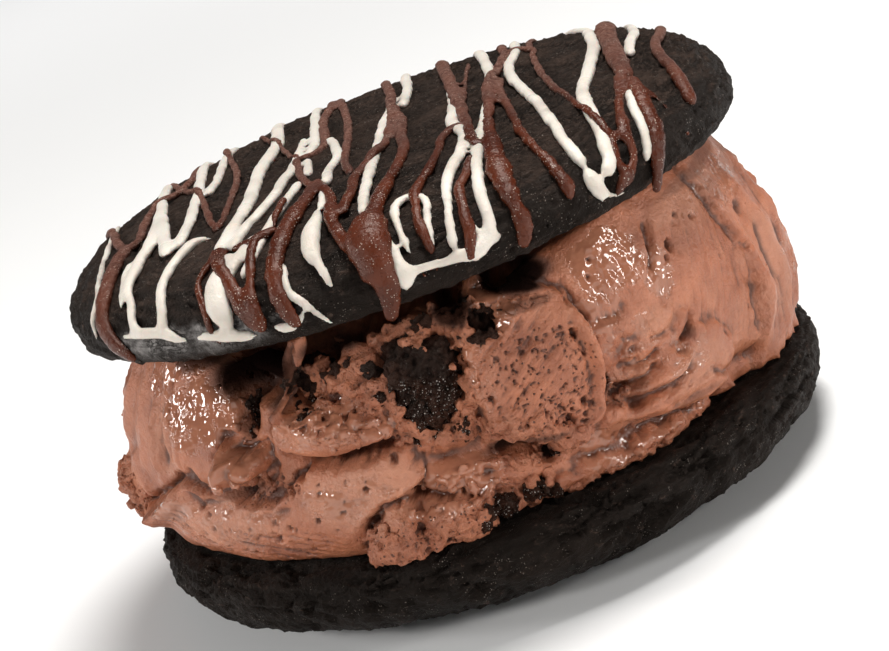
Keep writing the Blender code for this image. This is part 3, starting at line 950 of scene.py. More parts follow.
# Strings of ice cream in the gap: (thickness at the top, thickness at the bottom, ((azimuth,
# height, radius), ...)).
STRINGS = (
    (2.6, 1.5, ((-26.6, 39.6, 36.4), (-28.8, 37.4, 37.4), (-31.6, 35.4, 38.2), (-33, 33.6, 39),
     (-33.2, 31.4, 39.6))),
    (1.5, 0.9, ((-69.5, 38.6, 36.4), (-69.2, 36.5, 37.8), (-69, 34.2, 39.8))),
    (1.2, 0.8, ((-65.6, 38.6, 36.6), (-66, 36.4, 37.8), (-66.4, 34.4, 39.6))),
    (1.7, 0.9, ((-62, 38.6, 36.8), (-62.3, 36.2, 38.2), (-62.9, 33.8, 40))),
    (1, 0.7, ((-58.4, 38.4, 37), (-58.8, 36.4, 38), (-59.4, 34.6, 39.4))),
    (1.4, 0.9, ((-54.6, 38, 36.4), (-54.9, 36, 37.6), (-55.4, 34, 39))),
)

# Rows of torn bits that lap over the brownie's edges: (how many, least and most half size, spread,
# ((azimuth, height), ...)).
BIT_ROWS = (
    (44, 0.35, 0.95, 0.8, ((-15.6, 36.6), (-15, 33), (-14.6, 30), (-13, 27.2), (-10.4, 25.2))),
    (26, 0.3, 0.8, 0.55, ((-11, 25.4), (-7.6, 24), (-4.4, 23.6), (-2.2, 24.6))),
    (30, 0.3, 0.85, 0.6, ((-14.6, 36.4), (-11, 36.9), (-7, 36.6), (-3.6, 37.2), (0, 36))),
    (16, 0.3, 0.65, 0.4, ((-6.6, 36.9), (-5.4, 35.7), (-4, 34.7))),
    (20, 0.3, 0.7, 0.4, ((-0.6, 35.2), (-0.2, 31), (-0.4, 27.4), (-1.4, 25))),
    (18, 0.3, 0.7, 0.5, ((2.6, 35.6), (3.4, 37.2), (6.4, 37.8), (8.4, 36.4), (7.6, 33.6))),
    (16, 0.3, 0.75, 0.5, ((-5, 14.8), (-3.4, 16.2), (1, 16.4), (3, 15.6))),
    (10, 0.3, 0.6, 0.4, ((1.4, 13), (1.8, 15.4))),
    (22, 0.3, 0.7, 0.5, ((-26.4, 35.6), (-26, 32.6), (-27.4, 31), (-30.8, 30.8))),
    (12, 0.3, 0.6, 0.4, ((-43.8, 33), (-43.6, 29.6), (-42.2, 28.2))),
)

# Where the top cookie doesn't touch the slab: (azimuth, half width in degrees, how far the slab's
# top sinks behind its crest).
GAPS = ((-33, 17, 8), (-16, 9, 5), (1.5, 4.5, 5), (13, 6, 7), (-50, 6, 3))

# Fields of torn clumps: (from azimuth, to azimuth, from height, to height, how many, least and most
# half size, how far out they stand).
CLUMPS = (
    (-27, -14, 28.8, 36.4, 60, 0.5, 1.1, 0.1),
    (-23, -5, 11.9, 14.6, 50, 0.6, 1.25, 0.1),
    (-22, -3, 14.2, 17.2, 30, 0.5, 1, -0.1),
    (-12, 3, 34.6, 37.2, 24, 0.5, 1, 0),
    (0, 10, 21, 24.4, 26, 0.5, 0.95, 0.4),
    (4, 14, 16.8, 20.5, 16, 0.5, 0.9, -0.1),
    (6, 43, 11.9, 12.8, 34, 0.35, 0.7, 0.3),
    (-90, -78, 14.5, 23, 34, 0.5, 1.1, 0.5),
    (-92, -84, 24, 35, 20, 0.5, 1, 0.2),
    (48, 92, 12.1, 13.2, 20, 0.5, 0.8, 0.2),
    (76, 94, 26, 37, 16, 0.5, 0.9, 0),
    (112, 150, 12.4, 19, 44, 0.5, 1.1, 0),
    (168, 205, 26, 34, 50, 0.5, 1, 0),
    (-150, -126, 13, 17, 30, 0.5, 1, 0.1),
)

# Grooves and ridges on the slab: (width, depth, ((azimuth, height), ...)); a negative depth is a
# ridge.
STROKES = (
    # The scoop's face: its thin rim, the ragged edge below it and lines left by the scoop.
    (0.8, -0.75, ((19, 34.5), (19.6, 32), (19.8, 28), (19.5, 24), (18, 21.2), (15.4, 18.8),
     (11.6, 16.8))),
    (0.9, 0.55, ((21.2, 34), (21.6, 30), (21.4, 26), (20.9, 23))),
    (0.5, 0.35, ((17.6, 33), (18.2, 29), (17.8, 25), (16.4, 21.8))),
    (1.2, 2.3, ((-1, 21.8), (2.4, 20.8), (6, 19.7), (9.4, 17.8), (11.6, 16.8))),
    (0.45, 0.25, ((15, 34.8), (9, 31), (4, 28))),
    (0.5, 0.3, ((16, 32.4), (10, 28), (5, 25.6))),
    (0.5, -0.22, ((12, 36), (7, 33), (2.5, 29.5))),
    (0.5, 0.3, ((14, 24), (10, 21.6), (8, 20))),
    # Folds at the right.
    (0.55, 1, ((21.6, 22.4), (24.5, 21.6), (28, 21.8), (32, 22.9))),
    (0.6, 0.9, ((23.6, 18.6), (28, 19.6), (33, 19.3), (38, 20.8))),
    (0.8, -0.7, ((23, 20), (28, 20.8), (34, 20.8), (38.5, 22))),
    (1.6, 0.8, ((22.6, 29.6), (23.8, 27), (26.6, 25.6))),
    (0.5, 0.5, ((40.5, 18.4), (43, 17), (46.4, 16.6))),
    (1, 1.2, ((20.4, 21.8), (22, 21.2), (24, 20.5), (26.8, 18.9))),
    (1.1, 1.1, ((20.6, 23.6), (22.2, 24.2))),
    (0.35, 0.45, ((27.2, 23.6), (29.4, 23.5), (32.4, 24.4))),
    (0.4, 1, ((36.6, 23.4), (38.2, 23.9), (39.4, 25), (40, 26.4))),
    (0.8, -0.5, ((27.6, 22), (31.5, 22.6), (35, 22.2))),
    (0.7, -0.6, ((36, 24.6), (38, 25.6), (38.8, 27.2))),
    (0.5, 0.5, ((24.6, 24.4), (26.8, 24), (28.8, 24.4))),
    (0.7, 0.6, ((30, 17), (35, 16.6), (41, 16.4))),
    (0.4, 0.35, ((30.6, 26), (33.5, 25.4), (34.6, 25.8))),
    (1.3, 0.8, ((23.6, 16.5), (27, 15.8), (30, 15.4), (35, 14.6), (40.5, 13.9))),
    (0.55, 0.6, ((39.2, 38.4), (38, 36.6), (36.8, 34.6), (35.4, 32.3))),
    (0.5, -0.3, ((40, 38), (38.8, 35.8), (37.4, 33.2))),
    (0.4, 0.25, ((35.2, 33.8), (33.6, 31.6))),
    (0.5, 0.3, ((44.6, 37), (43, 34.6), (42, 32))),
    (0.7, 0.35, ((56.5, 24.8), (57.6, 21), (57.2, 17.4))),
    (0.7, 0.35, ((61, 25), (61.8, 21), (61.4, 17.2))),
    (0.9, -0.35, ((59, 25.6), (59.8, 21), (59.4, 17))),
    (0.9, 0.45, ((66, 30), (64, 26), (64.5, 21))),
    (1.1, 0.7, ((48.6, 15.3), (53, 15.5), (58, 14.8))),
    (0.6, 0.4, ((24.5, 29.2), (27, 27), (29.6, 26.4))),
    (0.8, 0.35, ((22.6, 31.5), (24.6, 30.2), (27.4, 30.4), (29.6, 31.6))),
    # The left: drapes, the overlap that runs down to the blob, the cleft and the tongue.
    (0.8, 0.9, ((-56, 26.2), (-60, 24.6), (-66, 21.8), (-75, 19.4), (-88, 16.4))),
    (1.1, -0.5, ((-55, 24.8), (-60, 22.9), (-66, 20), (-76, 17.4))),
    (0.6, 0.5, ((-58.8, 34.2), (-59.2, 30), (-58.4, 26.2))),
    (0.7, -0.35, ((-61, 34), (-61.8, 30), (-61.4, 25.8))),
    (0.6, 0.35, ((-63.6, 33.8), (-64.4, 29), (-64, 25))),
    (0.7, -0.3, ((-66.5, 33.8), (-67, 29), (-67.4, 24))),
    (0.6, 0.35, ((-70, 33.8), (-70.8, 28), (-72, 23))),
    (0.9, 0.5, ((-76, 34), (-75.6, 29), (-77.5, 24))),
    (0.8, 1.2, ((-42.8, 33.6), (-42, 31), (-41.6, 28.8))),
    (0.7, 0.8, ((-50, 24.2), (-46, 23.1), (-42, 22.9), (-38.6, 24), (-37.6, 26.4))),
    (0.9, 1, ((-35, 26.4), (-30, 25.5), (-25, 24.9), (-18, 25.2), (-14, 25.8))),
    (0.5, 0.4, ((-45, 20.6), (-39, 20.2), (-34, 20.8))),
    (0.5, 0.35, ((-44, 17.8), (-41, 17.3), (-38, 17.2))),
    (0.6, 0.3, ((-56, 16.8), (-48, 14.6), (-40, 13.2))),
    (0.6, 0.3, ((-50, 17.4), (-42, 15.4), (-34, 13.6))),
    (0.6, -0.25, ((-53, 17.6), (-45, 15.2), (-37, 13.4))),
    (0.9, 0.9, ((-25, 15), (-22, 16.6), (-19, 18.2), (-15, 18.6), (-11, 17.4))),
    (1, -0.35, ((-26, 16.6), (-22.5, 18.2), (-19, 19.8), (-14, 20.2))),
    (1.2, 0.7, ((-12.5, 22.6), (-8, 21.6), (-4, 21.8), (-1, 22.6))),
    (0.6, 0.4, ((-12, 19.4), (-8, 18.6), (-4, 18.9), (0, 18.2))),
    (0.6, 0.35, ((-9, 16.2), (-5, 16), (-1, 16.6), (3, 16.2))),
    # The back.
    (0.9, 0.7, ((100, 33), (104, 27), (112, 22), (124, 19))),
    (0.8, -0.4, ((103, 34), (107, 28), (115, 23.6))),
    (0.7, 0.6, ((132, 35), (136, 29), (148, 26), (160, 27.5))),
    (0.9, 0.6, ((-165, 20), (-150, 22.5), (-138, 21), (-126, 23.5))),
    (0.6, 0.5, ((-140, 35), (-137, 31), (-139, 27))),
    (0.6, 0.5, ((-118, 35), (-115, 30), (-117, 25))),
    (0.7, -0.35, ((-112, 34), (-110, 29), (-112, 23))),
    (0.8, 0.5, ((-106, 27), (-100, 24), (-94, 23))),
    (0.8, 0.6, ((166, 18), (175, 16.4), (186, 18.6), (195, 17))),
)

# Single pits: (azimuth, height, half width, half height, depth).
PITS = (
    (-38.2, 37, 5.6, 5.4, 6), (-15.5, 24, 0.6, 0.8, 0.9), (41.3, 34.2, 0.75, 0.95, 1.1),
    (39.5, 33.2, 0.4, 0.4, 0.6), (48.7, 35.5, 0.5, 0.4, 0.6), (45.5, 36.8, 0.4, 0.35, 0.5),
    (62.5, 32.3, 1.3, 1, 0.45), (71.5, 24.5, 1.2, 1.4, 0.4), (27.5, 25.5, 0.8, 0.6, 0.5),
    (21.2, 23.3, 1.2, 1.1, 1.3), (46, 13, 1.6, 1, 1.4), (-21.3, 21.3, 0.45, 0.35, 0.6),
    (-31, 18.8, 0.4, 0.35, 0.5), (-23, 16.2, 0.5, 0.3, 0.5), (-53.5, 21.7, 0.4, 0.35, 0.5),
    (-52, 20.8, 0.35, 0.3, 0.5), (-51.5, 19, 0.35, 0.3, 0.4), (-38.8, 19.3, 0.4, 0.35, 0.5),
    (-34.5, 22.5, 0.6, 0.4, 0.7), (-33.2, 22.9, 0.4, 0.4, 0.6), (-32.3, 23.8, 0.45, 0.35, 0.6),
    (-39.5, 17, 0.5, 0.3, 0.5), (-19, 29.4, 0.6, 0.9, 1.1), (16, 23.2, 0.4, 0.7, 0.8),
    (13, 21.4, 0.5, 0.9, 0.9), (17.4, 22.4, 0.35, 0.5, 0.6), (17.8, 31.2, 0.45, 0.7, 0.7),
    (9, 17, 0.9, 0.7, 1), (5.5, 31.4, 0.4, 0.3, 0.4), (2.4, 27.4, 0.45, 0.3, 0.5),
    (26.5, 37.2, 0.35, 0.35, 0.5), (25, 35.5, 0.3, 0.3, 0.4), (55, 21.5, 0.35, 0.3, 0.4),
    (51, 29.5, 0.3, 0.25, 0.35), (67, 27, 0.35, 0.3, 0.35),
)

# Fields of pores: (from azimuth, to azimuth, from height, to height, how many, least and most
# radius).
PORES = (
    (9, 18.6, 20.5, 32.5, 110, 0.14, 0.27),
    (2, 10, 24, 33, 40, 0.14, 0.24),
    (6, 17, 17.5, 24, 40, 0.15, 0.36),
    (-24, -4, 12.4, 17.5, 50, 0.22, 0.5),
    (-47, -33, 21.5, 24, 20, 0.2, 0.4),
    (-58, -30, 13, 19, 44, 0.15, 0.28),
    (-30, -12, 17, 25, 14, 0.14, 0.26),
    (112, 150, 14, 30, 46, 0.2, 0.45),
    (170, 230, 15, 34, 60, 0.2, 0.45),
)

# Where bits of brownie lie in the ice cream: (azimuth, height, half width, half height, strength).
BROWNIE_BITS = (
    (-42.6, 30.8, 0.9, 2.4, 1), (-29, 33.6, 2.2, 2.4, 1), (-7, 36.8, 5.5, 1, 0.9), (3, 34, 2.2, 1.2, 0.9),
    (6.5, 36.2, 1.8, 1.6, 0.8), (-7, 24.2, 3.4, 1.2, 0.7), (-13.8, 31, 1.2, 4, 0.6),
    (1.5, 14.2, 4.6, 1.6, 0.7), (-20, 34.5, 3.5, 1.5, 0.35), (21.6, 23, 0.9, 0.9, 0.5),
    (9.4, 17.2, 1.2, 0.7, 0.7), (-2, 30, 0.8, 3, 0.8), (140, 24, 3, 2, 0.6), (-150, 30, 3, 2, 0.6),
)

# Patches of each finish of the ice cream, and the dark patches of its painted shade: (azimuth,
# height, half width, half height, strength).
PATCHES = {
    "wet": (
        (29, 36.2, 4.2, 3.6, 1), (24, 31.5, 3, 2.6, 0.8), (36.5, 32.5, 2.2, 3, 1),
        (31, 22.5, 7, 3.4, 0.42), (28, 27, 4, 3, 0.45), (34, 14.4, 7, 1.3, 0.55),
        (20, 15.6, 5, 2.6, 0.75), (-53, 32.4, 7, 4, 0.75), (-61, 21.2, 4, 1.8, 0.9),
        (-44, 26.4, 2.6, 2.2, 1), (-39.5, 27, 1.2, 0.8, 0.9), (-27, 30.3, 6, 1.2, 0.85),
        (-16, 27.8, 2, 1, 0.8), (-27, 19.8, 2, 1.2, 0.8), (36, 20.4, 4, 1, 0.7),
        (-24.5, 20.2, 6, 3, 0.45), (-8, 18.6, 6, 2.8, 0.9), (-62, 36, 8, 2.6, 0.6),
        (8, 36.5, 2.2, 2.6, 0.9), (2.6, 30, 1.8, 4.4, 0.42), (-50, 18, 10, 4, 0.42), (60, 36, 9, 3, 0.4),
        (-26, 28.8, 6, 1.8, 0.5), (75, 22, 4, 5, 0.4), (130, 30, 7, 4, 0.6), (-140, 27, 8, 4, 0.6),
        (178, 22, 8, 4, 0.5),
    ),
    "pale": (
        (-22, 21, 7.5, 4.2, 0.75), (-50, 20, 9, 3, 0.6), (-62, 28.5, 3.6, 5, 0.6),
        (33, 27, 2.4, 1.8, 0.6), (38, 19.6, 5, 2.6, 0.5), (66, 24, 2.4, 7, 0.6), (50, 37.6, 7, 1.8, 0.5),
        (-30, 29.4, 4, 1.2, 0.5), (55, 20, 5, 4, 0.3), (27, 23, 2.4, 1.4, 0.5), (150, 24, 7, 5, 0.5),
        (-120, 24, 7, 5, 0.5),
    ),
    # Painted shade: the gaps under the top cookie, the cave at the left, creases and undercuts.
    "dark": (
        (14, 38.6, 4.5, 1.6, 1), (1.5, 37.4, 2.6, 1.6, 0.9), (-38.5, 36.8, 7.6, 4, 1),
        (-50, 38.4, 6.5, 1.5, 0.75), (-21, 37.8, 4, 1.6, 0.9), (-36, 32.8, 2.4, 1.8, 0.7),
        (21.5, 22.8, 1.2, 1.3, 0.8), (9, 17.2, 0.9, 0.6, 0.8), (62, 39.2, 14, 0.8, 0.4),
        (46, 36.5, 9, 3.4, 0.15), (-42.4, 31, 0.9, 2.2, 0.6), (13, 35.9, 3, 0.7, 0.5),
        (5, 20.4, 4.8, 0.8, 0.6), (26, 20.2, 3.4, 0.5, 0.4), (34.5, 16.2, 5, 0.5, 0.35),
        (38.6, 24.6, 0.7, 1.5, 0.45), (24.5, 21.4, 2.4, 0.5, 0.45), (-44.5, 22.6, 3.6, 0.6, 0.4),
    ),
    "ragged": (
        (-20, 32.4, 5.6, 4.8, 1), (-14, 14, 8, 3, 1), (-5, 18.6, 5.5, 1.6, 0.55),
        (4, 17.6, 3.6, 1.2, 0.5), (-1.5, 36, 4.4, 2, 1), (4, 22.6, 4.2, 1.9, 1), (9.5, 19.4, 3, 1.9, 0.8),
        (-43.2, 24.6, 2, 1, 0.4), (-6, 25, 4.5, 1.3, 1), (0.4, 28, 0.9, 5.5, 0.9),
        (-14.2, 31, 1.3, 5.5, 1), (12, 36.2, 4, 0.8, 0.7), (-38.5, 22.8, 4.6, 1.2, 0.45),
        (-85, 19, 3.5, 4.5, 0.8), (24, 12.8, 13, 0.6, 0.6), (22.5, 21.8, 1.8, 2, 0.7),
        (130, 15, 14, 3, 0.9), (191, 30.5, 8, 3.4, 0.9), (177, 27.2, 6, 2.6, 0.7),
        (-138, 15, 9, 2.5, 0.9),
    ),
    "porous": (
        (12, 27, 5.4, 6.2, 1), (5, 28.5, 3, 4, 0.6), (10, 19.5, 4, 3, 1), (-14, 14.6, 7.5, 2.8, 1),
        (-40, 22.8, 5, 1.5, 1), (130, 24, 10, 8, 0.8), (200, 24, 16, 8, 0.8),
    ),
}


def bearing(place):
    """A place's distance from the slab's middle line, in millimetres, and its azimuth."""
    return math.hypot(place.x, place.y) / MM, math.degrees(math.atan2(place.x, -place.y))


def outward(azimuth):
    """The direction that points straight out of the slab at an azimuth."""
    angle = azimuth * DEGREE
    return Vector((math.sin(angle), -math.cos(angle), 0.0))


CLEAR_OF_SLAB = 0.09  # metres from the middle, outside everything
LEAST_REACH = 0.03  # metres; a hit nearer the middle than this came through a gap
GAP_RADIUS = 35.0  # the slab's radius where only a gap is found


def slab_radius(surface, azimuth, height):
    """The slab's radius at a place, in millimetres."""
    out = outward(azimuth)
    start = out * CLEAR_OF_SLAB + Vector((0.0, 0.0, height * MM))
    hit = surface.ray_cast(start, -out)[0]
    found = hit and hit.dot(out) > LEAST_REACH
    return bearing(hit)[0] if found else GAP_RADIUS


SEED_STEP = 7.1  # how far apart in the noise two balls' seeds lie
BULGE = 0.3  # how uneven a ball is
BULGE_SIZE = 1.3  # how fine its unevenness is


class Heap:
    """A mesh and the uneven balls added to it, which a remesh then joins."""

    def __init__(self, mesh):
        self.points = [points_of(mesh)]
        self.faces = [tuple(p.vertices) for p in mesh.polygons]
        self.count = len(mesh.vertices)
        bm = bmesh.new()
        bmesh.ops.create_icosphere(bm, subdivisions=2, radius=1.0)
        self.ball = [v.co.copy() for v in bm.verts]
        self.ball_faces = [[v.index for v in f.verts] for f in bm.faces]
        bm.free()

    def add_ball(self, azimuth, radius, height, halves, turn, seed):
        """Adds a ball, stretched across, out and up by its three half sizes."""
        out = outward(azimuth)
        facing = Matrix.Rotation(azimuth * DEGREE, 4, "Z") @ Matrix.Rotation(-turn * DEGREE, 4, "Y")
        place = Matrix.Translation((out * radius + Vector((0.0, 0.0, height))) * MM) @ facing
        shift = Vector((seed * SEED_STEP, 0.0, 0.0))
        bulges = [MM * (1.0 + BULGE * noise.noise(v * BULGE_SIZE + shift)) for v in self.ball]
        made = []
        for vertex, bulge in zip(self.ball, bulges):
            made.append(place @ Vector(a * b * bulge for a, b in zip(vertex, halves)))
        self.points.append(np.array(made))
        self.faces += [tuple(self.count + i for i in face) for face in self.ball_faces]
        self.count += len(made)

    def mesh(self):
        made = bpy.data.meshes.new("heap")
        made.from_pydata([tuple(p) for p in np.vstack(self.points)], [], self.faces)
        return made


def between(places, spacing):
    """Places along a path, about a spacing in millimetres apart."""
    for here, after in zip(places, places[1:]):
        length = math.hypot((after[0] - here[0]) * SLAB_ARC, after[1] - here[1])
        steps = max(1, round(length / spacing))
        for step in range(steps):
            yield [a + (b - a) * step / steps for a, b in zip(here, after)]
    yield places[-1]


def ice_cream_blank(surface):
    """The slab with its lumps, rolls, strings and clumps, before they are made one."""
    heap = Heap(sunk_in_gaps(merged_copy(["ice_cream"])))
    chance = random.Random(5)
    for seed, (azimuth, height, stand, across, out, up, turn) in enumerate(LUMPS):
        radius = slab_radius(surface, azimuth, height) + stand
        heap.add_ball(azimuth, radius, height, (across, out, up), turn, seed)
    for seed, path in enumerate(ROLLS):
        for azimuth, height, stand, half in between(path, spacing=0.7):
            radius = slab_radius(surface, azimuth, height) + stand - 0.3 * half
            half *= 1.0 + 0.2 * noise.noise(Vector((azimuth * 0.25, height * 0.3, seed)))
            heap.add_ball(azimuth, radius, height, (half, half, half), 0, seed)
    for thick, thin, places in STRINGS:
        steps = list(between(places, spacing=0.6))
        for step, (azimuth, height, radius) in enumerate(steps):
            half = 0.5 * (thick + (thin - thick) * step / len(steps)) * chance.uniform(0.9, 1.15)
            heap.add_ball(azimuth, radius, height, (half, half, half * 1.2), 0, step + 40)
    for start, end, low, high, count, least, most, stand in CLUMPS:
        for _ in range(count):
            azimuth = chance.uniform(start, end)
            height = chance.uniform(low, high)
            half = chance.uniform(least, most)
            radius = slab_radius(surface, azimuth, height) + stand + chance.uniform(-0.5, 0.45)
            halves = [half * chance.uniform(0.7, 1.3) for _ in range(3)]
            heap.add_ball(azimuth, radius, height, halves, chance.uniform(-60, 60), chance.random())
    return heap.mesh()


def sunk_in_gaps(mesh):
    """Hollows the slab's top behind its crest wherever the top cookie stands clear of it."""
    bm = bmesh.new()
    bm.from_mesh(mesh)
    bmesh.ops.subdivide_edges(
        bm,
        edges=[e for e in bm.edges if all(in_gap(v.co) > 0.0 for v in e.verts)],
        cuts=3,
        use_grid_fill=True,
    )
    for vertex in bm.verts:
        vertex.co.z -= in_gap(vertex.co) * MM
    bm.to_mesh(mesh)
    bm.free()
    return mesh


def in_gap(place):
    """How deep the slab's top sinks at a place, in millimetres."""
    reach, azimuth = bearing(place)
    if place.z < TOP_HEIGHT * MM or reach > CREST_REACH:
        return 0.0
    behind = float(eased(reach, CREST_REACH, SUNK_REACH))
    behind *= float(eased(reach, CORE_REACH, RISING_REACH))
    return max(
        depth * behind * math.exp(-(((azimuth - middle) / half) ** 2)) for middle, half, depth in GAPS
    )


WOBBLE_SIZE = 2.1  # the size of the wobble of an edge
SLOW_SIZE = 5.0  # and of the bends in a comb's lines
FINER = 0.43  # the spacing of a comb's finer lines, as a share of its own
GROOVE_WIDTH = 0.5
GROOVE_OUT = 0.35  # how far outside a shelf's edge its groove is
PATCH_FADE = (1.7, 0.45)  # where a patch ends and where it is whole, in squared half sizes
POINTED = 0.15  # how deep a stroke's ends are, as a share of its depth
RUN_OUT = 0.2  # the share of a stroke over which each end runs out


class Side:
    """Places on the slab's side as lengths round it and heights, for numpy work on the vertices."""

    def __init__(self, points):
        x, y, z = points.T / MM
        self.radius = np.hypot(x, y)
        self.azimuth = np.degrees(np.arctan2(x, -y))
        self.height = z
        self.rise = np.zeros(len(points))
        self.wobbles = [self.wavy(points, WOBBLE_SIZE, shift) for shift in (0.0, 50.0)]
        self.slow = self.wavy(points, SLOW_SIZE, 90.0)

    def wavy(self, points, size, shift):
        """Uneven values from -1 to 1 that change over a size in millimetres."""
        places = points / (size * MM) + shift
        coarse_and_fine = [(noise.noise(Vector(p)), noise.noise(Vector(p * 2.3))) for p in places]
        return np.array([coarse + 0.5 * fine for coarse, fine in coarse_and_fine])

    def across(self, azimuth):
        """How far round the slab each place is from an azimuth."""
        return ((self.azimuth - azimuth + 180.0) % 360.0 - 180.0) * SLAB_ARC

    def stroke(self, width, depth, path):
        """Cuts a groove along a path, or raises a ridge, with ends that run out."""
        middle = sum(p[0] for p in path) / len(path)
        s = self.across(middle)
        lines = [((a - middle) * SLAB_ARC, z) for a, z in path]
        lengths = [math.dist(p, q) for p, q in zip(lines, lines[1:])]
        nearest = np.full(len(s), FAR_OFF)
        share = np.zeros(len(s))
        done = 0.0
        for (p, q), length in zip(zip(lines, lines[1:]), lengths):
            along = ((s - p[0]) * (q[0] - p[0]) + (self.height - p[1]) * (q[1] - p[1])) / length**2
            along = np.clip(along, 0.0, 1.0)
            away = np.hypot(
                s - p[0] - along * (q[0] - p[0]), self.height - p[1] - along * (q[1] - p[1])
            )
            closer = away < nearest
            nearest = np.where(closer, away, nearest)
            share = np.where(closer, (done + along * length) / sum(lengths), share)
            done += length
        taper = eased(share, 0.0, RUN_OUT) * eased(share, 1.0, 1.0 - RUN_OUT)
        taper = taper * (1.0 - POINTED) + POINTED
        self.rise -= depth * taper * np.exp(-((nearest / width) ** 2))

    def shelf(self, rise, edge, wobble, groove, outline):
        """Raises the inside of an outline, and cuts a groove just outside it."""
        middle = sum(p[0] for p in outline) / len(outline)
        s = self.across(middle) + wobble * self.wobbles[0]
        z = self.height + wobble * self.wobbles[1]
        inside = np.zeros(len(s), bool)
        away = np.full(len(s), FAR_OFF)
        corners = [((a - middle) * SLAB_ARC, h) for a, h in outline]
        for (s0, z0), (s1, z1) in zip(corners, corners[1:] + corners[:1]):
            length = max((s1 - s0) ** 2 + (z1 - z0) ** 2, 1e-9)
            along = np.clip(((s - s0) * (s1 - s0) + (z - z0) * (z1 - z0)) / length, 0.0, 1.0)
            to_edge = np.hypot(s - s0 - along * (s1 - s0), z - z0 - along * (z1 - z0))
            away = np.minimum(away, to_edge)
            if z0 != z1:
                crosses = (z0 > z) != (z1 > z)
                inside ^= crosses & (s < (s1 - s0) * (z - z0) / (z1 - z0) + s0)
        depth = np.where(inside, away, -away)
        self.rise += rise * eased(depth, -0.5 * edge, 0.5 * edge)
        self.rise -= groove * np.exp(-(((depth + 0.5 * edge + GROOVE_OUT) / GROOVE_WIDTH) ** 2))

    def comb(self, azimuth, height, half_width, half_height, slope, spacing, depth):
        """Fine, uneven parallel lines in a soft patch."""
        turn = slope * DEGREE
        s, z = self.across(azimuth), self.height - height
        off = z * math.cos(turn) - s * math.sin(turn) + 0.5 * self.slow
        lines = np.sin(2.0 * math.pi * off / spacing + 1.5 * self.wobbles[0])
        finer = np.sin(2.0 * math.pi * off / (spacing * FINER) + 2.0 * self.wobbles[1])
        mask = self.patch([(azimuth, height, half_width, half_height, 1.0)])
        self.rise += depth * mask * (0.6 * lines + 0.4 * finer) * (0.6 + 0.8 * np.abs(self.slow))

    def pit(self, azimuth, height, half_width, half_height, depth):
        """A round-bottomed hole."""
        q = np.hypot(self.across(azimuth) / half_width, (self.height - height) / half_height)
        self.rise -= depth * np.sqrt(np.clip(1.0 - q * q, 0.0, 1.0))

    def patch(self, places):
        """A mask that is the strongest of some soft patches."""
        mask = np.zeros(len(self.height))
        for azimuth, height, half_width, half_height, strength in places:
            q = (self.across(azimuth) / half_width) ** 2 + ((self.height - height) / half_height) ** 2
            mask = np.maximum(mask, strength * eased(q, *PATCH_FADE))
        return mask


def refined(mesh, chosen):
    """Splits the faces whose vertices are all chosen into four."""
    bm = bmesh.new()
    bm.from_mesh(mesh)
    bm.verts.ensure_lookup_table()
    edges = [e for e in bm.edges if chosen[e.verts[0].index] and chosen[e.verts[1].index]]
    bmesh.ops.subdivide_edges(bm, edges=edges, cuts=1, use_grid_fill=True)
    bm.to_mesh(mesh)
    bm.free()
    set_points(mesh, evened(mesh, points_of(mesh), 2))
    return mesh


MIDDLE_HEIGHT = 20.0  # what is higher than this belongs to the slab's upper half
OPEN_CAP = 20.0  # no one can see the top inside this radius where the gap is open
CLOSED_CAP = 34.0  # nor the top or the foot inside this radius elsewhere


def without_hidden_caps(mesh):
    """Swaps the parts of both caps that no one can see for a few large faces."""
    bm = bmesh.new()
    bm.from_mesh(mesh)
    hidden = []
    for vertex in bm.verts:
        reach, azimuth = bearing(vertex.co)
        in_open_gap = vertex.co.z > MIDDLE_HEIGHT * MM and OPEN_GAP[0] < azimuth < OPEN_GAP[1]
        if reach < (OPEN_CAP if in_open_gap else CLOSED_CAP):
            hidden.append(vertex)
    bmesh.ops.delete(bm, geom=hidden, context="VERTS")
    rims = [e for e in bm.edges if e.is_boundary]
    bmesh.ops.holes_fill(bm, edges=rims, sides=0)
    bmesh.ops.triangulate(bm, faces=[f for f in bm.faces if len(f.verts) > 4])
    bmesh.ops.recalc_face_normals(bm, faces=bm.faces)
    bm.to_mesh(mesh)
    bm.free()
    return mesh


def slab_relief(graph, at, soft, torn):
    """Soft unevenness all over, and broken crumb where the ice cream is torn."""
    ragged = named_field(graph, "ragged")
    smooth = graph.noise(at, 6, 2) * soft
    smooth = smooth + graph.noise(at * (1, 1, 0.5), 2.2, 3, 0.6) * (soft * 0.6)
    smooth = smooth + graph.noise(at, 0.95, 2, 0.6) * (soft * 0.16)
    broken = graph.noise(at, 1.7, 3, 0.6) + (0.35 - graph.cells(at, 1.3)) * 0.9
    return smooth + ragged * broken * torn


def torn_relief(graph, at, torn):
    """Sharp little peaks and holes, as where firm ice cream was pulled apart."""
    bent = at + graph.joined(*(graph.noise(at, size) for size in (1.3, 1.1, 1.2))) * 0.0004
    holes = graph.ramp(graph.cells(bent, 1.1), 0.42, 0.1)
    return (graph.noise(at, 0.9, 4, 0.7) * 2.0 - holes * 1.4) * torn


PER_METRE = 1e6  # square millimetres in a square metre
WHOLE_TURN = 6.28


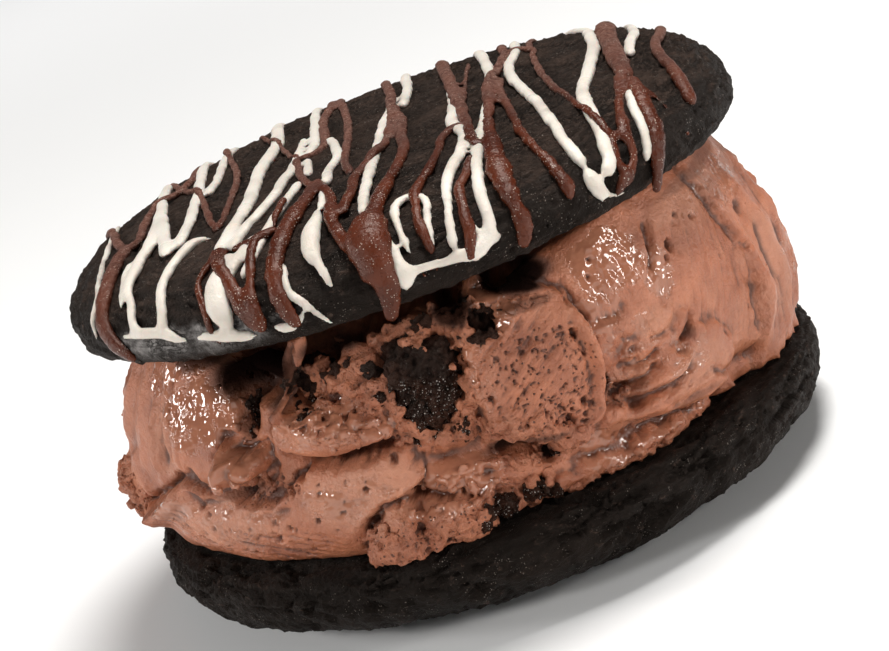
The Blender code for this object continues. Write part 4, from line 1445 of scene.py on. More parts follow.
def scatter_tree():
    """Scatters uneven clumps over a surface wherever its scatter field asks for them."""
    inputs = numbers(Per_Square=0.5, Least=0.35, Most=0.9) + [("Seed", "NodeSocketInt", 1)]
    graph, wires, exit_node = new_mesh_tree("scatter", inputs)
    surface, per_square, least, most, seed, material = wires
    scattered = graph.result(
        "GeometryNodeDistributePointsOnFaces",
        "Points",
        Mesh=surface,
        Density=named_field(graph, "scatter") * per_square * PER_METRE,
        Seed=seed,
    )
    ball = graph.result("GeometryNodeMeshIcoSphere", "Mesh", Radius=MM, Subdivisions=3)

    def random_value(kind, low, high):
        limits = {"Min": low, "Max": high, "Seed": seed}
        return graph.result("FunctionNodeRandomValue", "Value", {"data_type": kind}, **limits)

    spin = random_value("FLOAT_VECTOR", (0.0,) * 3, (WHOLE_TURN,) * 3)
    size = random_value("FLOAT", least, most)
    stretch = random_value("FLOAT_VECTOR", (0.6,) * 3, (1.3,) * 3)
    placed = graph.result(
        "GeometryNodeInstanceOnPoints",
        "Instances",
        Points=scattered,
        Instance=ball,
        Rotation=spin,
        Scale=stretch * size,
    )
    close_tree(graph, exit_node, placed, material)
    return graph.tree


def finish_fields(mesh):
    """Sets the fields of the ice cream's finish on a mesh, and those of its painted shade."""
    side = Side(points_of(mesh))
    on_side = eased(side.radius, *FINISH_SETS_IN)
    for name, places in PATCHES.items():
        set_field(mesh, name, side.patch(places) * on_side)
    # Painted shade: how deep each place lies, for the material to darken.
    small = hollows(mesh, rounds=10, depth=0.16)
    large = hollows(mesh, rounds=90, depth=1.2)
    set_field(mesh, "hollow_shade", np.clip(0.6 * small + 1.15 * large, 0.0, 1.0))


def nearness(surface, points, reach):
    """How near places are to a surface, from 0 at a reach in millimetres to 1 where they touch."""
    away = [surface.find_nearest(Vector(p), reach * MM)[3] for p in points]
    return np.array([0.0 if d is None else 1.0 - d / (reach * MM) for d in away])


def shaped_slab():
    """The slab with its shelves, grooves, pits and torn places."""
    surface = BVHTree.FromObject(frame["nodes"]["ice_cream"], bpy.context.evaluated_depsgraph_get())
    mesh = without_hidden_caps(remeshed(ice_cream_blank(surface), SLAB_VOXEL, smoothing=3))
    side = Side(points_of(mesh))
    front = np.abs(side.across(FINE_MIDDLE)) < FINE_HALF
    mesh = refined(mesh, front & (side.radius > FINE_REACH) & (side.height > FINE_HEIGHT))
    points = points_of(mesh)
    side = Side(points)
    for shelf in SHELVES:
        side.shelf(*shelf)
    for width, depth, path in STROKES:
        side.stroke(width, depth, path)
    for comb in COMBS:
        side.comb(*comb)
    for pit in PITS:
        side.pit(*pit)
    chance = random.Random(8)
    for start, end, low, high, count, least, most in PORES:
        for _ in range(count):
            half = chance.uniform(least, most)
            azimuth = chance.uniform(start, end)
            height = chance.uniform(low, high)
            side.pit(azimuth, height, half, half * chance.uniform(0.7, 1.3), half * 1.7)
    on_side = eased(side.radius, *CARVING_SETS_IN)
    angle = side.azimuth * DEGREE
    out = np.stack([np.sin(angle), -np.cos(angle), np.zeros(len(angle))], 1)
    set_points(mesh, points + out * (side.rise * RELIEF * on_side * MM)[:, None])
    set_field(mesh, "ragged", side.patch(PATCHES["ragged"]) * on_side)
    tree = relief_tree("slab_relief", slab_relief, Soft=0.2, Torn=0.5)
    mesh = run_tree(tree, mesh, Soft=0.36, Torn=0.5)
    keep_between_cookies(mesh)
    return mesh


def bit_rows(crust, surface):
    """The crust with its rows of bits added."""
    heap = Heap(crust)
    chance = random.Random(21)
    for count, least, most, spread, path in BIT_ROWS:
        places = list(between(path, spacing=0.2))
        for _ in range(count):
            azimuth, height = chance.choice(places)
            azimuth += chance.gauss(0.0, spread) / SLAB_ARC
            height += chance.gauss(0.0, spread)
            half = chance.uniform(least, most)
            halves = [half * chance.uniform(0.6, 1.3) for _ in range(3)]
            radius = slab_radius(surface, azimuth, height) + chance.uniform(-0.35, 0.3)
            heap.add_ball(azimuth, radius, height, halves, chance.uniform(-60, 60), chance.random())
    return heap.mesh()


def ice_cream(materials):
    """Makes the slab and the torn crust on parts of it, and gives the bits of brownie on the slab."""
    slab = shaped_slab()
    side = Side(points_of(slab))
    seen = eased(side.radius, *TEARING_SETS_IN)
    chunks = remeshed(merged_copy(BROWNIE_NODES), CHUNK_VOXEL, smoothing=1)
    beside = nearness(shell_of(chunks), points_of(slab), reach=1.4)
    torn = np.maximum(side.patch(PATCHES["ragged"]), beside) * seen
    set_field(slab, "scatter", torn)
    scatter = scatter_tree()
    set_field(chunks, "scatter", 0.8 * nearness(shell_of(slab), points_of(chunks), reach=1.1))
    grown = joined_meshes([slab, chunks])
    crust = run_tree(scatter, grown, Per_Square=1.25, Least=0.25, Most=0.8, Seed=3)
    crust = bit_rows(crust, shell_of(grown))
    crust = remeshed(crust, TORN_VOXEL, smoothing=1)
    crust = run_tree(relief_tree("torn_relief", torn_relief, Torn=0.2), crust, Torn=0.22)
    finish_fields(crust)
    set_field(crust, "ragged", np.ones(len(crust.vertices)))
    keep_between_cookies(crust)
    finished("torn_ice_cream", crust, materials["ice_cream"], "chocolate_ice_cream")
    set_field(slab, "scatter", side.patch(BROWNIE_BITS) * seen)
    bits = run_tree(scatter, slab, Per_Square=0.9, Least=0.35, Most=1.0, Seed=9)
    finish_fields(slab)
    finished("scooped_ice_cream", slab, materials["ice_cream"], "chocolate_ice_cream", "ice_cream")
    return bits


INTO_BOTTOM = 0.0002  # metres that the slab may sink into the bottom cookie
INTO_TOP = 0.0001  # and into the top one


def keep_between_cookies(mesh):
    """Keeps the slab off the cookies' flat sides where its relief would push into them."""
    points = points_of(mesh)
    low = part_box("ice_cream")[0].z
    under = top_cookie_matrix()
    normal = under.to_3x3() @ Vector((0.0, 0.0, 1.0))
    centre = under.translation
    lean = normal.x * (points[:, 0] - centre.x) + normal.y * (points[:, 1] - centre.y)
    ceiling = centre.z - lean / normal.z
    points[:, 2] = np.clip(points[:, 2], low - INTO_BOTTOM, ceiling + INTO_TOP)
    set_points(mesh, points)


# ---- Brownie ----

MOISTENING = (33.5, 30.0)  # the heights over which the brownie gets moister, going down
LEAST_MOIST = 0.2
BROWNIE_NODES = ("brownie_front", "brownie_left", "brownie_top", "brownie_foot", "brownie_heel")


def brownie_relief(graph, at, crumb):
    """Clods, the grains they are made of, and the odd deep hole."""
    bent = at + graph.joined(*(graph.noise(at, size) for size in (1.6, 1.3, 1.9))) * 0.0005
    clods = graph.noise(at, 2.2, 4, 0.7) * 1.7
    grains = 0.4 - graph.cells(bent, 0.75)
    holes = graph.ramp(graph.cells(bent, 1.7), 0.4, 0.1) * graph.ramp(graph.noise(at, 2.7), -0.1, 0.3)
    return (clods + grains * 1.4 - holes * 2.0) * crumb


def brownie(materials, bits):
    """Makes the lumps of brownie and the bits that lie in the ice cream, moister lower down."""
    mesh = joined_meshes([merged_copy(BROWNIE_NODES), bits])
    mesh = remeshed(mesh, BROWNIE_VOXEL, smoothing=1)
    mesh = run_tree(relief_tree("brownie_relief", brownie_relief, Crumb=0.3), mesh, Crumb=0.6)
    height = points_of(mesh)[:, 2] / MM
    set_field(mesh, "wet", eased(height, *MOISTENING) * (1.0 - LEAST_MOIST) + LEAST_MOIST)
    # Painted shade: how deep each place lies, for the material to darken.
    set_field(mesh, "hollow_shade", hollows(mesh, rounds=16, depth=0.4))
    finished("brownie_chunks", mesh, materials["brownie"], "brownie", *BROWNIE_NODES)


# ---- Drizzle ----

EDGE_REACH = 44.0  # past this reach a strand runs down the rim, and its reach counts as a length

# Strands: (width, ((x, y), ...)) on the top cookie. A point may have a width of its own. A reach
# over EDGE_REACH runs on down the rim.
WHITE_STRANDS = (
    (1.3, ((-36, 12), (-36.9, -3), (-37.5, -8), (-38, -13), (-38.8, -16.9), (-39.9, -18.6),
     (-41.2, -20.5, 0.7))),
    (1.5, ((-33, -15.5), (-34.4, -19), (-35.5, -24, 1))),
    (2.2, ((-29.2, 4, 1.6), (-30, -10.5), (-32, -17.5), (-34, -21.8, 1.9), (-33.9, -25, 1.8),
     (-34.4, -27.4, 1.7), (-34.2, -29.4, 1.5))),
    (2.1, ((-28.9, 24), (-29, 1.5), (-28.7, -8), (-28.3, -20, 2.4), (-28.3, -21, 2))),
    (1.8, ((-19, 32), (-20.3, 17.4), (-21.2, 6), (-22.5, -1))),
    (2, ((-23.4, 25), (-23.7, 5), (-24.3, -4), (-25, -12), (-26, -17), (-26.6, -20.5, 1.6))),
    (1.9, ((-22.3, -22.9, 0.6), (-24.8, -21.8), (-27.6, -24.8), (-29.5, -27.8), (-30.3, -30.9),
     (-31.2, -32.6, 2.2))),
    (2.4, ((-12, 40), (-12.4, 30), (-12.5, 15), (-13.6, 8), (-15.3, 0), (-16.2, -8), (-17.2, -16),
     (-18.8, -22), (-21, -27.5), (-21.8, -29.4))),
    (2, ((-9, 10, 1.4), (-11, -6.5), (-12.6, -12), (-14, -18), (-16.2, -23), (-18.5, -27),
     (-20.2, -30.5))),
    (1.8, ((-10.6, -16), (-12, -20.5), (-14, -26), (-16, -31), (-18, -34.5), (-20, -36.5))),
    (3, ((-20.5, -31, 2.2), (-21.4, -33), (-23, -35.5, 3.8), (-23.4, -37.4, 3.6), (-23.2, -39.6, 1.4))),
    (2.2, ((-16.8, -29.5, 1.4), (-18.6, -32), (-20.6, -34), (-22.4, -35.5, 2.6))),
    (1.9, ((-6, 40), (-6.7, 28), (-7.2, 14), (-7.8, 3), (-8.6, -2.7))),
    (1.9, ((-5.7, 3), (-5.2, -5), (-5.4, -11), (-6.8, -16), (-7.4, -22))),
    (1.7, ((-9, -5), (-9.4, -14))),
    (2.2, ((-9.2, -30.5, 1), (-9.6, -33, 2), (-10.8, -36.5, 2.8), (-11.3, -39.2, 2.8), (-10.9, -41, 1.8),
     (-10.5, -43.6, 1.1))),
    (1.6, ((-7.8, -24), (-8.8, -31))),
    (1.9, ((4, 14, 1.4), (1.8, 1), (0.4, -8), (-0.8, -17), (-2, -24), (-3.4, -31), (-4.4, -37))),
    (1.9, ((6.8, 40), (6.5, 27), (5.9, 15), (4.6, 6))),
    (2.1, ((10.8, 4, 1.4), (10.3, -8), (9.2, -16), (9.8, -24), (8.6, -30), (6.4, -35), (5.4, -38.4, 1.7),
     (4.8, -41.2, 1.5), (4, -43.6, 1.6), (3.8, -45.3, 1.8))),
    (2, ((17.4, 38), (17.3, 30), (16.9, 12), (16.2, 0), (15.4, -7), (13.9, -15), (12.6, -22), (11.2, -28),
     (9.6, -35.3), (8.8, -40), (8.4, -43.4), (7.9, -44.9, 2.2))),
    (1.9, ((22.4, 36), (22, 25), (21.2, 15), (19.3, 6), (18.6, -3), (19, -14), (19.6, -25), (19.9, -34),
     (20.8, -38.5, 2.2))),
    (2.2, ((31, 14), (30, 1), (28.3, -8), (26.4, -16), (24.8, -22), (24.4, -28), (24.2, -33), (23.8, -37),
     (22.8, -39, 2.4))),
    (1.9, ((36.5, 24), (36.3, 12), (35.6, 4), (34, -3), (32.8, -10))),
    (1.8, ((30, -24), (29.2, -29), (28.9, -33.4), (28.9, -36.2, 1.4))),
    (1.4, ((-1, -44.3, 1.1), (-1.2, -41.5), (-1.1, -39.2, 1.6), (-0.3, -37.5, 1.7), (1.1, -37),
     (2.4, -37.9), (2.7, -39.4, 1.5), (2.2, -41.4, 1.5), (1.5, -44.6, 1.1))),
    (1.4, ((-14.8, -37.5, 0.9), (-15.1, -41, 1.5), (-14.4, -42.7), (-13.9, -44.4, 1.2), (-13.4, -46, 0.9),
     (-12.9, -47, 0.6))),
    (1.2, ((6.7, -40.2, 1), (6.5, -42.8), (6.7, -44.8))),
)

# Pools of white chocolate along the front of the rim.
WHITE_POOLS = (
    (1.7, ((-37.1, -26, 0.8), (-35.2, -28.2, 1.4), (-33.4, -30.1, 1.9), (-31.8, -32), (-30.8, -33.6, 1.9),
     (-30.4, -34.6, 1.4), (-29.5, -36, 0.9))),
    (1.6, ((-28.6, -36.6, 0.8), (-27, -37.6, 1.5), (-25.6, -38.9, 1.9), (-24, -40.3, 2),
     (-22.6, -41.5, 1.6), (-21.6, -42.3, 1))),
    (1.5, ((-19.6, -42.7, 0.9), (-18.4, -43.6, 1.6), (-17.2, -44.3, 1.5), (-15.6, -44.1, 1.2),
     (-14.6, -43.3, 0.9))),
    (1.9, ((-3, -41.4, 1.2), (-2.7, -44), (-2.6, -46.2, 2.8), (-3.2, -47.6, 1.5))),
    (1.7, ((-2.6, -45.8, 2.4), (-0.8, -45.9, 1.5), (1.6, -46.1, 1.4), (4, -46.1, 1.8), (6.1, -46.1, 2.4),
     (7.6, -45.3, 2.1), (9.8, -44.9, 1.2))),
    (2.4, ((20.8, -38.4), (21.4, -39.8, 2.6), (22.4, -41, 2.2), (22.8, -42, 1.2))),
    (1.2, ((21.8, -40.4, 1.8), (23.4, -41, 1.2), (25, -40.8, 0.9), (26.6, -40, 0.6))),
)

MILK_STRANDS = (
    (1.5, ((-38.4, 19), (-37.5, 14), (-36.3, 6), (-35.2, -3), (-33.8, -8.5), (-32, -8), (-31.4, -1),
     (-30, 6), (-27, 9), (-25, 14), (-24.4, 24), (-24, 34))),
    (2.4, ((-33.9, -8.6, 1.8), (-34.5, -11), (-36, -15), (-37.4, -19.1, 2.6), (-38.3, -21.7),
     (-38.7, -24.2, 2.2), (-38.5, -27, 1.9), (-38.7, -29, 1.3))),
    (1.2, ((-29.4, 32), (-28.5, 25), (-26.5, 11), (-24, 2.5), (-23, -6), (-22.4, -15), (-21.7, -21),
     (-20.5, -17), (-19.3, -8), (-18.5, 1), (-18.8, 10), (-19.8, 24), (-20.4, 36))),
    (1, ((-15.4, 38), (-15, 30), (-13.8, 20), (-12.4, 12), (-11.4, 4), (-10.2, -3))),
    (1.6, ((-10.2, -3), (-8.5, -3.5), (-6.8, -1), (-6.3, 5), (-5.9, 17), (-4.4, 28), (-4, 40))),
    (1.3, ((-10.3, -4), (-10.4, -11), (-9.8, -17), (-9.2, -21))),
    (1.4, ((-3.2, 41), (-3, 32), (-2.8, 14), (-3.2, 2), (-4, -7), (-4.6, -15), (-4.4, -22))),
    (1.5, ((-8.6, -19), (-7.9, -24), (-7.4, -29), (-7.9, -33, 1.9), (-8, -36, 1.9), (-7.6, -39, 2),
     (-6.6, -42, 2.4))),
    (1.2, ((-12.6, -23, 1.5), (-14, -27), (-14.6, -30, 0.8))),
    (1.2, ((-21.5, -29, 2), (-23, -30.2, 1.4), (-24.8, -31.8), (-25.2, -33.5), (-25.2, -36),
     (-25.9, -37.7), (-26.3, -39.7, 0.9))),
    (2, ((-21.5, -29, 2), (-21.8, -32.5), (-21.3, -36.4), (-20.9, -39.6), (-20.7, -42.2, 1.9))),
    (1.6, ((-14.6, -30.4, 1.4), (-15.5, -31.5), (-17, -32), (-18.4, -36), (-19.3, -38.3),
     (-20, -40.5, 2.2), (-20.5, -42.6, 2.2))),
    (1.3, ((-17, -32), (-20.2, -30.5))),
    (1.7, ((3.2, 14, 1.4), (3.4, 3), (3.7, -4), (3, -11), (2.8, -18), (2, -24), (0.4, -28.5, 1.7),
     (-1.2, -33, 2.1), (-3, -37.2, 2.6), (-4, -39.6, 4.2), (-4.8, -41.8, 5.6), (-5, -43.8, 4.6),
     (-4.7, -45.8, 3.4), (-5.3, -47.8, 2.6), (-6, -49.4, 2), (-6.1, -50.2, 1.4))),
    (1.6, ((3.8, 41), (3.7, 32), (3.7, 16), (3, 5), (1.8, -7), (0.2, -15), (-1.6, -20), (-3.8, -24),
     (-4.8, -29), (-5.8, -32), (-6.6, -34.6, 1.2))),
    (1.4, ((10.4, -20.5), (8.6, -20), (7.2, -22), (6.2, -27), (4.4, -32), (1.9, -36.8, 1.5), (1.6, -38.8),
     (1.2, -41, 1.6), (1.3, -44.2, 1.4), (1.2, -45, 1))),
    (2, ((12, 34), (11.6, 18), (11.3, 4), (11, -8), (10.8, -17, 1.7), (10.5, -24, 1.5),
     (10.4, -31, 1.3))),
    (0.9, ((15, 20), (13.6, 9), (12.4, -1), (11.4, -9))),
    (1.5, ((20.8, 36), (20.2, 25), (19.6, 14), (17.8, 6), (16.2, -1), (15, -7), (14.2, -16),
     (13.2, -22))),
    (1.2, ((19.5, 14), (21.5, 15.5), (23.3, 12), (22.6, 6), (22.1, -7), (22.3, -16), (23.2, -24),
     (24, -30), (24.8, -34.5, 1.5))),
    (1.2, ((25.4, 36), (25, 30), (23.6, 20), (23, 12))),
    (2.8, ((35.4, 28), (34, 20), (33, 12), (32.1, 3), (31.4, -6), (30.8, -14, 2.6), (30.5, -20, 2.4))),
    (1.5, ((30, -19, 2), (28.8, -24), (27.6, -29), (26.9, -33, 1.8), (26.9, -36.4, 1.2),
     (26.2, -38.4, 1.6), (25.4, -40, 1.4))),
    (1.5, ((27, -33.4, 1.6), (25.2, -34.4, 1.5), (24.8, -37, 1.4), (25.6, -38.4, 1.6),
     (24.6, -41.2, 1.3))),
    (0.7, ((31.2, -23.5, 1), (32.6, -26.5), (33.5, -29.5, 0.5))),
    (1.7, ((40, 12, 1.4), (39.2, 6), (38.2, 0), (36.6, -6), (36, -13), (36.2, -20, 2), (36, -25.5, 2.2))),
    (1.5, ((9.6, -33, 1), (8, -36.6), (6.8, -38.6), (6.3, -41.6), (6, -44.2, 1.7), (5, -46.9, 1.4))),
    (2.2, ((10.4, -27.4, 1.4), (9.8, -28.4, 2))),
    (1, ((35.2, -29.6, 1.2), (35.4, -30.4, 1))),
    (1, ((-0.5, -46.3), (-0.3, -47.2, 0.8))),
    (1, ((1.1, -46.3), (1.2, -46.9, 0.8))),
)

# Milk chocolate strands that dried in rings, as a slow drip does.
RINGED_STRANDS = (
    (2.4, ((-9, -20.5, 1.6), (-10, -25, 2), (-11.8, -29, 2.4), (-13.6, -33), (-15.4, -37), (-16.3, -40),
     (-16.5, -42.4, 2.2), (-16.4, -44.9, 1.6))),
    (2.4, ((13.2, -22, 1.8), (12.5, -28, 2), (12, -34, 2.6), (11.6, -38.6, 3), (11.8, -42, 2.7),
     (12.2, -44.6, 2.2), (11.8, -46.9, 1.7))),
    (1.4, ((17.2, -1), (16.3, -9), (16.1, -20), (16, -29), (16.6, -35), (18, -40, 1.8),
     (18.4, -42, 1.4))),
    (1.7, ((19.6, 14), (17.8, 6), (16.2, -1), (15, -7), (14.2, -16), (13.4, -21))),
    (2.2, ((30.6, -21), (30.6, -26), (30.4, -30), (30.3, -34), (30.8, -37, 1.7), (31.2, -39.4, 1.3))),
)

# Where strands turn at the back of the rim: (white or milk, width, points).
BACK_TURNS = (
    ("white", 1.9, ((-23.4, 25), (-22.8, 33), (-20.4, 36), (-19, 32))),
    ("white", 2, ((-28.9, 24), (-30.4, 30), (-32, 31.5, 2.6))),
    ("white", 2.2, ((-12, 40), (-9.6, 43.4), (-6.6, 42.6), (-6, 38))),
    ("white", 2.1, ((6.8, 40), (9.4, 43.6, 2.6), (13.6, 42), (17.2, 38))),
    ("white", 2, ((22.4, 36), (25.6, 38.4, 2.8), (28, 33), (30.4, 20), (31, 14))),
    ("milk", 1.5, ((-24, 34), (-26, 37.6), (-29, 35.4), (-29.4, 32))),
    ("milk", 1.6, ((-20.4, 36), (-19, 40.6, 2.2), (-16.2, 41.6), (-15.4, 38))),
    ("milk", 1.7, ((-4, 40), (-3.8, 44.8, 2.4), (-3.4, 48, 1.8))),
    ("milk", 1.6, ((3.8, 41), (6.4, 44, 2.2), (10, 41), (12, 34))),
    ("milk", 1.6, ((20.8, 36), (21.4, 40.4, 2.4), (24.2, 41), (25.4, 36))),
    ("milk", 2.4, ((35.4, 28), (34, 31.4), (31.8, 33.4), (30.4, 36.6, 1.6))),
    ("milk", 1.6, ((-38.4, 19), (-39.4, 23), (-40.6, 25, 1.2))),
)


def dome_height(reach):
    """The height of the top cookie's dome at a radius, over its flat side."""
    share = np.clip(reach / TOP_RADIUS, 0.0, 1.0)
    rise = TOP_THICKNESS - RIM_HEIGHT
    return RIM_HEIGHT + rise * (1.0 - share**DOME_POWER) ** (1.0 / DOME_ROUND)


RIM_DROP = 5.0  # how far a strand can hang below the rim's widest part
RIM_UNDERCUT = 0.02  # how fast the rim draws in below it
SLOPE_STEP = 0.05  # the length over which the dome's slope is measured
UPRIGHT_AFTER = 2.0  # the length down the rim after which its side is upright


def rim_walk():
    """Lengths down the rim from EDGE_REACH, with the radius and height there."""
    reach = TOP_RADIUS - (TOP_RADIUS - EDGE_REACH) * np.linspace(1.0, 0.0, 40) ** 2
    height = dome_height(reach)
    drop = np.linspace(0.0, RIM_DROP, 20)[1:]
    reach = np.append(reach, TOP_RADIUS - RIM_UNDERCUT * drop**2)
    height = np.append(height, RIM_HEIGHT - drop)
    steps = np.hypot(np.diff(reach), np.diff(height))
    return np.append(0.0, np.cumsum(steps)), reach, height


def laid_on_cookie(flat):
    """Points on the cookie and the directions out of it, for places whose reach runs down the rim."""
    walked, radius, height = rim_walk()
    reach = np.hypot(flat[:, 0], flat[:, 1])
    over = np.clip(reach - EDGE_REACH, 0.0, walked[-1])
    true_reach = np.where(reach > EDGE_REACH, np.interp(over, walked, radius), reach)
    true_height = np.where(reach > EDGE_REACH, np.interp(over, walked, height), dome_height(reach))
    way = flat / np.maximum(reach, 1e-6)[:, None]
    nearby = np.clip(true_reach - SLOPE_STEP, 0.0, TOP_RADIUS)
    run = SLOPE_STEP * 0.9
    tilt = np.arctan((dome_height(nearby) - dome_height(nearby + run)) / run)
    tilt = np.where(over > UPRIGHT_AFTER, np.pi / 2, tilt)
    points = np.column_stack([way * true_reach[:, None], true_height])
    normals = np.column_stack([way * np.sin(tilt)[:, None], np.cos(tilt)])
    return points, normals


PATH_STEP = 0.45  # the length between the points of a strand's path
END_LENGTH = 0.8  # how much of a strand's end is rounded off


def strand_path(width, places):
    """A smooth path through a strand's places, with its width at each step."""
    knots = np.array([(p[0], p[1], p[2] if len(p) > 2 else width) for p in places], float)
    ends = np.vstack([2 * knots[0] - knots[1], knots, 2 * knots[-1] - knots[-2]])
    path = []
    for before, here, after, beyond in zip(ends, ends[1:], ends[2:], ends[3:]):
        steps = max(2, int(math.dist(here[:2], after[:2]) / PATH_STEP))
        square = 2 * before - 5 * here + 4 * after - beyond
        cube = 3 * here - before - 3 * after + beyond
        for t in np.arange(steps) / steps:
            path.append(0.5 * (2 * here + (after - before) * t + square * t**2 + cube * t**3))
    path.append(knots[-1])
    return np.array(path)


def drizzle_tree():
    """Sweeps a flattened round section along laid paths, with beads and with the rings of a drip."""
    inputs = numbers(
        Flatness=0.72, Unevenness=0.16, Wander=0.25, Ring_Depth=0.17, Ring_Spacing=0.95
    )
    graph, wires, exit_node = new_mesh_tree("drizzle", inputs)
    paths, flatness, unevenness, wander, ring_depth, ring_spacing, material = wires
    curves = graph.result("GeometryNodeMeshToCurve", "Curve", Mesh=paths)
    at = graph.result("GeometryNodeInputPosition", "Position")
    out = named_field(graph, "out", "FLOAT_VECTOR")
    elsewhere = at + (0.05, 0.0, 0.0)
    sway = graph.joined(graph.noise(at, 3.4, 2), graph.noise(elsewhere, 3.4, 2), 0)
    curves = moved(graph, curves, sway * (wander * MM))
    kept = graph.result(
        "GeometryNodeStoreNamedAttribute",
        "Geometry",
        {"data_type": "FLOAT_VECTOR", "domain": "POINT"},
        Geometry=curves,
        Name="core",
        Value=at,
    )
    length = graph.result("GeometryNodeSplineParameter", "Length")
    ringed = named_field(graph, "ringed")
    wave = graph.sum_of("SINE", length * (2000.0 * math.pi) / ring_spacing + graph.noise(at, 5) * 3)
    beads = 1.0 + graph.noise(at, 2.6, 2) * unevenness + ringed * wave * ring_depth
    section = graph.result("GeometryNodeCurvePrimitiveCircle", "Curve", Resolution=12, Radius=1.0)
    swept = graph.result(
        "GeometryNodeCurveToMesh",
        "Mesh",
        Curve=kept,
        Profile_Curve=section,
        Scale=named_field(graph, "half") * beads,
        Fill_Caps=True,
    )
    away = at - named_field(graph, "core", "FLOAT_VECTOR")
    outwards = graph.sum_of("DOT_PRODUCT", away, out)
    pressed = moved(graph, swept, out * (outwards * (flatness - 1.0)))
    close_tree(graph, exit_node, pressed, material)
    return graph.tree


def paths_mesh(strands, ringed, below, lift, slimmer):
    """Laid paths as a mesh of edges, with each point's direction out, half width and rings.

    Each is raised by a lift times its half width, over what is already there below it."""
    points, normals, halves, rings, edges = [], [], [], [], []
    to_world = np.array(top_cookie_matrix())
    turn = to_world[:3, :3] / MM
    for (width, places), has_rings in zip(strands, ringed):
        path = strand_path(width, places)
        count = len(path)
        share = np.arange(count) / (count - 1)
        half = 0.5 * path[:, 2] * slimmer
        spot, normal = laid_on_cookie(path[:, :2])
        spot = spot @ to_world[:3, :3].T + to_world[:3, 3]
        normal = normal @ turn.T
        raised = half * lift * MM
        if below is not None:
            extra = np.array([height_over(below, p, n) for p, n in zip(spot, normal)])
            raised = raised + np.convolve(np.pad(extra, 3, "edge"), np.ones(7) / 7, "valid")
        spot = spot + normal * raised[:, None]
        to_end = np.minimum(share, 1 - share) * count * PATH_STEP / END_LENGTH
        ends = np.minimum(1.0, 0.35 + 0.65 * np.sqrt(to_end))
        start = len(points)
        points.extend(spot)
        normals.extend(normal)
        halves.extend(half * ends * MM)
        rings.extend([has_rings] * count)
        edges.extend((start + i, start + i + 1) for i in range(count - 1))
    mesh = bpy.data.meshes.new("paths")
    mesh.from_pydata([tuple(p) for p in points], edges, [])
    mesh.attributes.new("out", "FLOAT_VECTOR", "POINT").data.foreach_set("vector", np.ravel(normals))
    set_field(mesh, "half", halves)
    set_field(mesh, "ringed", rings)
    return mesh


FEEL_FROM = 0.004  # metres over a point from where what lies there is felt for
FEEL_LENGTH = 0.0045
SETTLED = 0.85  # the share of its height that a strand keeps where it crosses another


def height_over(below, point, normal):
    """How far what is already there stands above a laid point."""
    way = Vector(normal)
    start = Vector(point) + way * FEEL_FROM
    hit = below.ray_cast(start, -way, FEEL_LENGTH)[0]
    return max(0.0, (hit - Vector(point)).dot(way)) * SETTLED if hit else 0.0


# Going back along Y the chocolate has bloomed, and the same field paints a sheen of glancing light there.
BLOOMING = (-30.0, 4.0)  # from where, going back along Y, the chocolate has bloomed, and wholly
FILMING = (0.4, 0.95)  # how near the cookie, as a share of a reach, drizzle is a film, and wholly


def back_turns(colour):
    """The turns at the back of the rim in one colour."""
    return [(width, places) for which, width, places in BACK_TURNS if which == colour]


def set_and_film(mesh, cookie, bloom_and_sheen, film):
    """Marks where drizzle has bloomed and takes a painted sheen, and where it is a thin film, nearer the
    cookie than given.

    It is dullest and palest at the back, partly from blooming and partly from painted light glancing
    off the far strands."""
    points = points_of(mesh)
    set_field(mesh, "bloom_and_sheen", bloom_and_sheen * eased(points[:, 1] / MM, *BLOOMING))
    set_field(mesh, "thin", eased(nearness(cookie, points, film), *FILMING))


def drizzle(cookie, white_material, milk_material):
    """Makes the white drizzle on the cookie, and then the milk drizzle over both."""
    tree = drizzle_tree()
    white = list(WHITE_STRANDS) + list(WHITE_POOLS) + back_turns("white")
    paths = paths_mesh(white, [0.0] * len(white), None, lift=0.25, slimmer=0.86)
    mesh = run_tree(tree, paths, Unevenness=0.2, Material=white_material)
    mesh = remeshed(mesh, WHITE_VOXEL, smoothing=3)
    set_and_film(mesh, cookie, bloom_and_sheen=0.3, film=1.0)
    finished("white_chocolate_drizzle", mesh, white_material, "white_chocolate")
    below = shell_of(mesh)
    milk = back_turns("milk") + list(MILK_STRANDS)
    ringed = [0.5] * len(milk) + [1.0] * len(RINGED_STRANDS)
    paths = paths_mesh(milk + list(RINGED_STRANDS), ringed, below, lift=0.3, slimmer=0.95)
    mesh = run_tree(tree, paths, Unevenness=0.34, Material=milk_material)
    mesh = remeshed(mesh, MILK_VOXEL, smoothing=2)
    set_and_film(mesh, cookie, bloom_and_sheen=1.0, film=0.8)
    finished("milk_chocolate_drizzle", mesh, milk_material, "milk_chocolate")


# ---- Stage ----

VIEW_ELEVATION = 16.9
VIEW_ROLL = 20.0
VIEW_DISTANCE = 0.33  # metres
VIEW_TARGET = Vector((-0.0003, 0.0, 0.0248))
VIEW_LENS = 102.9
VIEW_SENSOR = 36.0
VIEW_NEAREST = 0.01  # metres
LIGHT_TARGET = Vector((0.0, 0.0, 0.026))
FLOOR_HALF = 3.0  # metres
GLOW_STARTS = (0.15, 0.7)  # the metres from the middle over which the floor starts to glow


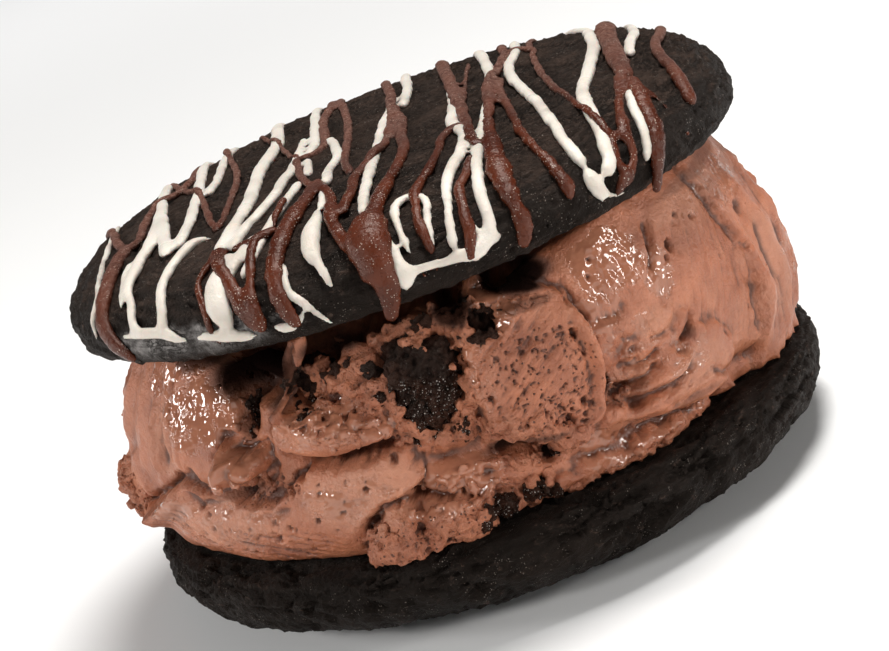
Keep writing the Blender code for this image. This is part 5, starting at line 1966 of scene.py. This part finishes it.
def make_camera():
    elevation = math.radians(VIEW_ELEVATION)
    roll = math.radians(VIEW_ROLL)
    back = Vector((0.0, -math.cos(elevation), math.sin(elevation)))
    level = Vector((1.0, 0.0, 0.0))
    rise = Vector((0.0, math.sin(elevation), math.cos(elevation)))
    right = math.cos(roll) * level - math.sin(roll) * rise
    up = math.sin(roll) * level + math.cos(roll) * rise
    lens = bpy.data.cameras.new("camera")
    lens.lens = VIEW_LENS
    lens.sensor_width = VIEW_SENSOR
    lens.sensor_fit = "HORIZONTAL"
    lens.clip_start = VIEW_NEAREST
    camera = linked("camera", lens)
    turn = Matrix((right, up, back)).transposed().to_4x4()
    camera.matrix_world = Matrix.Translation(VIEW_TARGET + back * VIEW_DISTANCE) @ turn
    bpy.context.scene.camera = camera


# Soft boxes: (name, place, size, power in watts, colour).
LIGHTS = (
    ("top_box", (0.14, 0.06, 0.52), 0.22, 3.3, (1.0, 0.985, 0.965)),
    ("left_box", (-0.40, -0.34, 0.30), 0.13, 1.1, (1.0, 0.99, 0.98)),
    ("right_box", (0.44, -0.36, 0.24), 0.12, 0.85, (1.0, 0.98, 0.955)),
    ("front_box", (0.02, -0.60, 0.12), 0.30, 0.25, (1.0, 0.99, 0.98)),
    ("left_strip", (-0.53, 0.06, 0.20), 0.12, 1.0, (1.0, 0.99, 0.98)),
    ("right_strip", (0.52, -0.32, 0.06), 0.12, 0.85, (1.0, 0.98, 0.96)),
)


def make_light(name, place, size, power, colour):
    lamp = bpy.data.lights.new(name, "AREA")
    lamp.shape = "DISK"
    lamp.size = size
    lamp.energy = power
    lamp.color = colour
    aim = LIGHT_TARGET - Vector(place)
    turn = aim.to_track_quat("-Z", "Y").to_matrix().to_4x4()
    linked(name, lamp).matrix_world = Matrix.Translation(place) @ turn


def make_floor():
    """A pale floor that glows softly away from the sandwich, so that it has no horizon."""
    bm = bmesh.new()
    bmesh.ops.create_grid(bm, x_segments=1, y_segments=1, size=FLOOR_HALF)
    mesh = bpy.data.meshes.new("floor")
    bm.to_mesh(mesh)
    bm.free()
    made, graph, shader, at = start_material("pale_floor")
    tone = graph.ramp(graph.noise(at, 400, 2), -1, 1)
    pale = graph.mix(tone, (0.87, 0.87, 0.865, 1), (0.89, 0.89, 0.885, 1))
    x, y = graph.parts(at)[:2]
    far = graph.ramp(graph.power(x * x + y * y, 0.5), *GLOW_STARTS)
    glow = graph.mix(far, (0.0, 0.0, 0.0, 1), (0.6, 0.6, 0.6, 1))
    graph.fill(shader, Base_Color=pale, Roughness=0.9, Emission_Color=glow, Emission_Strength=1.0)
    mesh.materials.append(made)
    floor = linked("floor", mesh)


def make_world():
    """A faint, even fill from all round."""
    world = bpy.data.worlds.new("studio")
    world.use_nodes = True
    backdrop = world.node_tree.nodes["Background"]
    backdrop.inputs["Color"].default_value = (1.0, 0.995, 0.99, 1.0)
    backdrop.inputs["Strength"].default_value = 0.10
    bpy.context.scene.world = world
    bpy.context.scene.view_settings.view_transform = "Standard"


def main():
    materials = make_materials()
    cookie = cookies(materials)
    bits = ice_cream(materials)
    brownie(materials, bits)
    drizzle(cookie, materials["white"], materials["milk"])
    make_camera()
    for light in LIGHTS:
        make_light(*light)
    make_floor()
    make_world()


main()
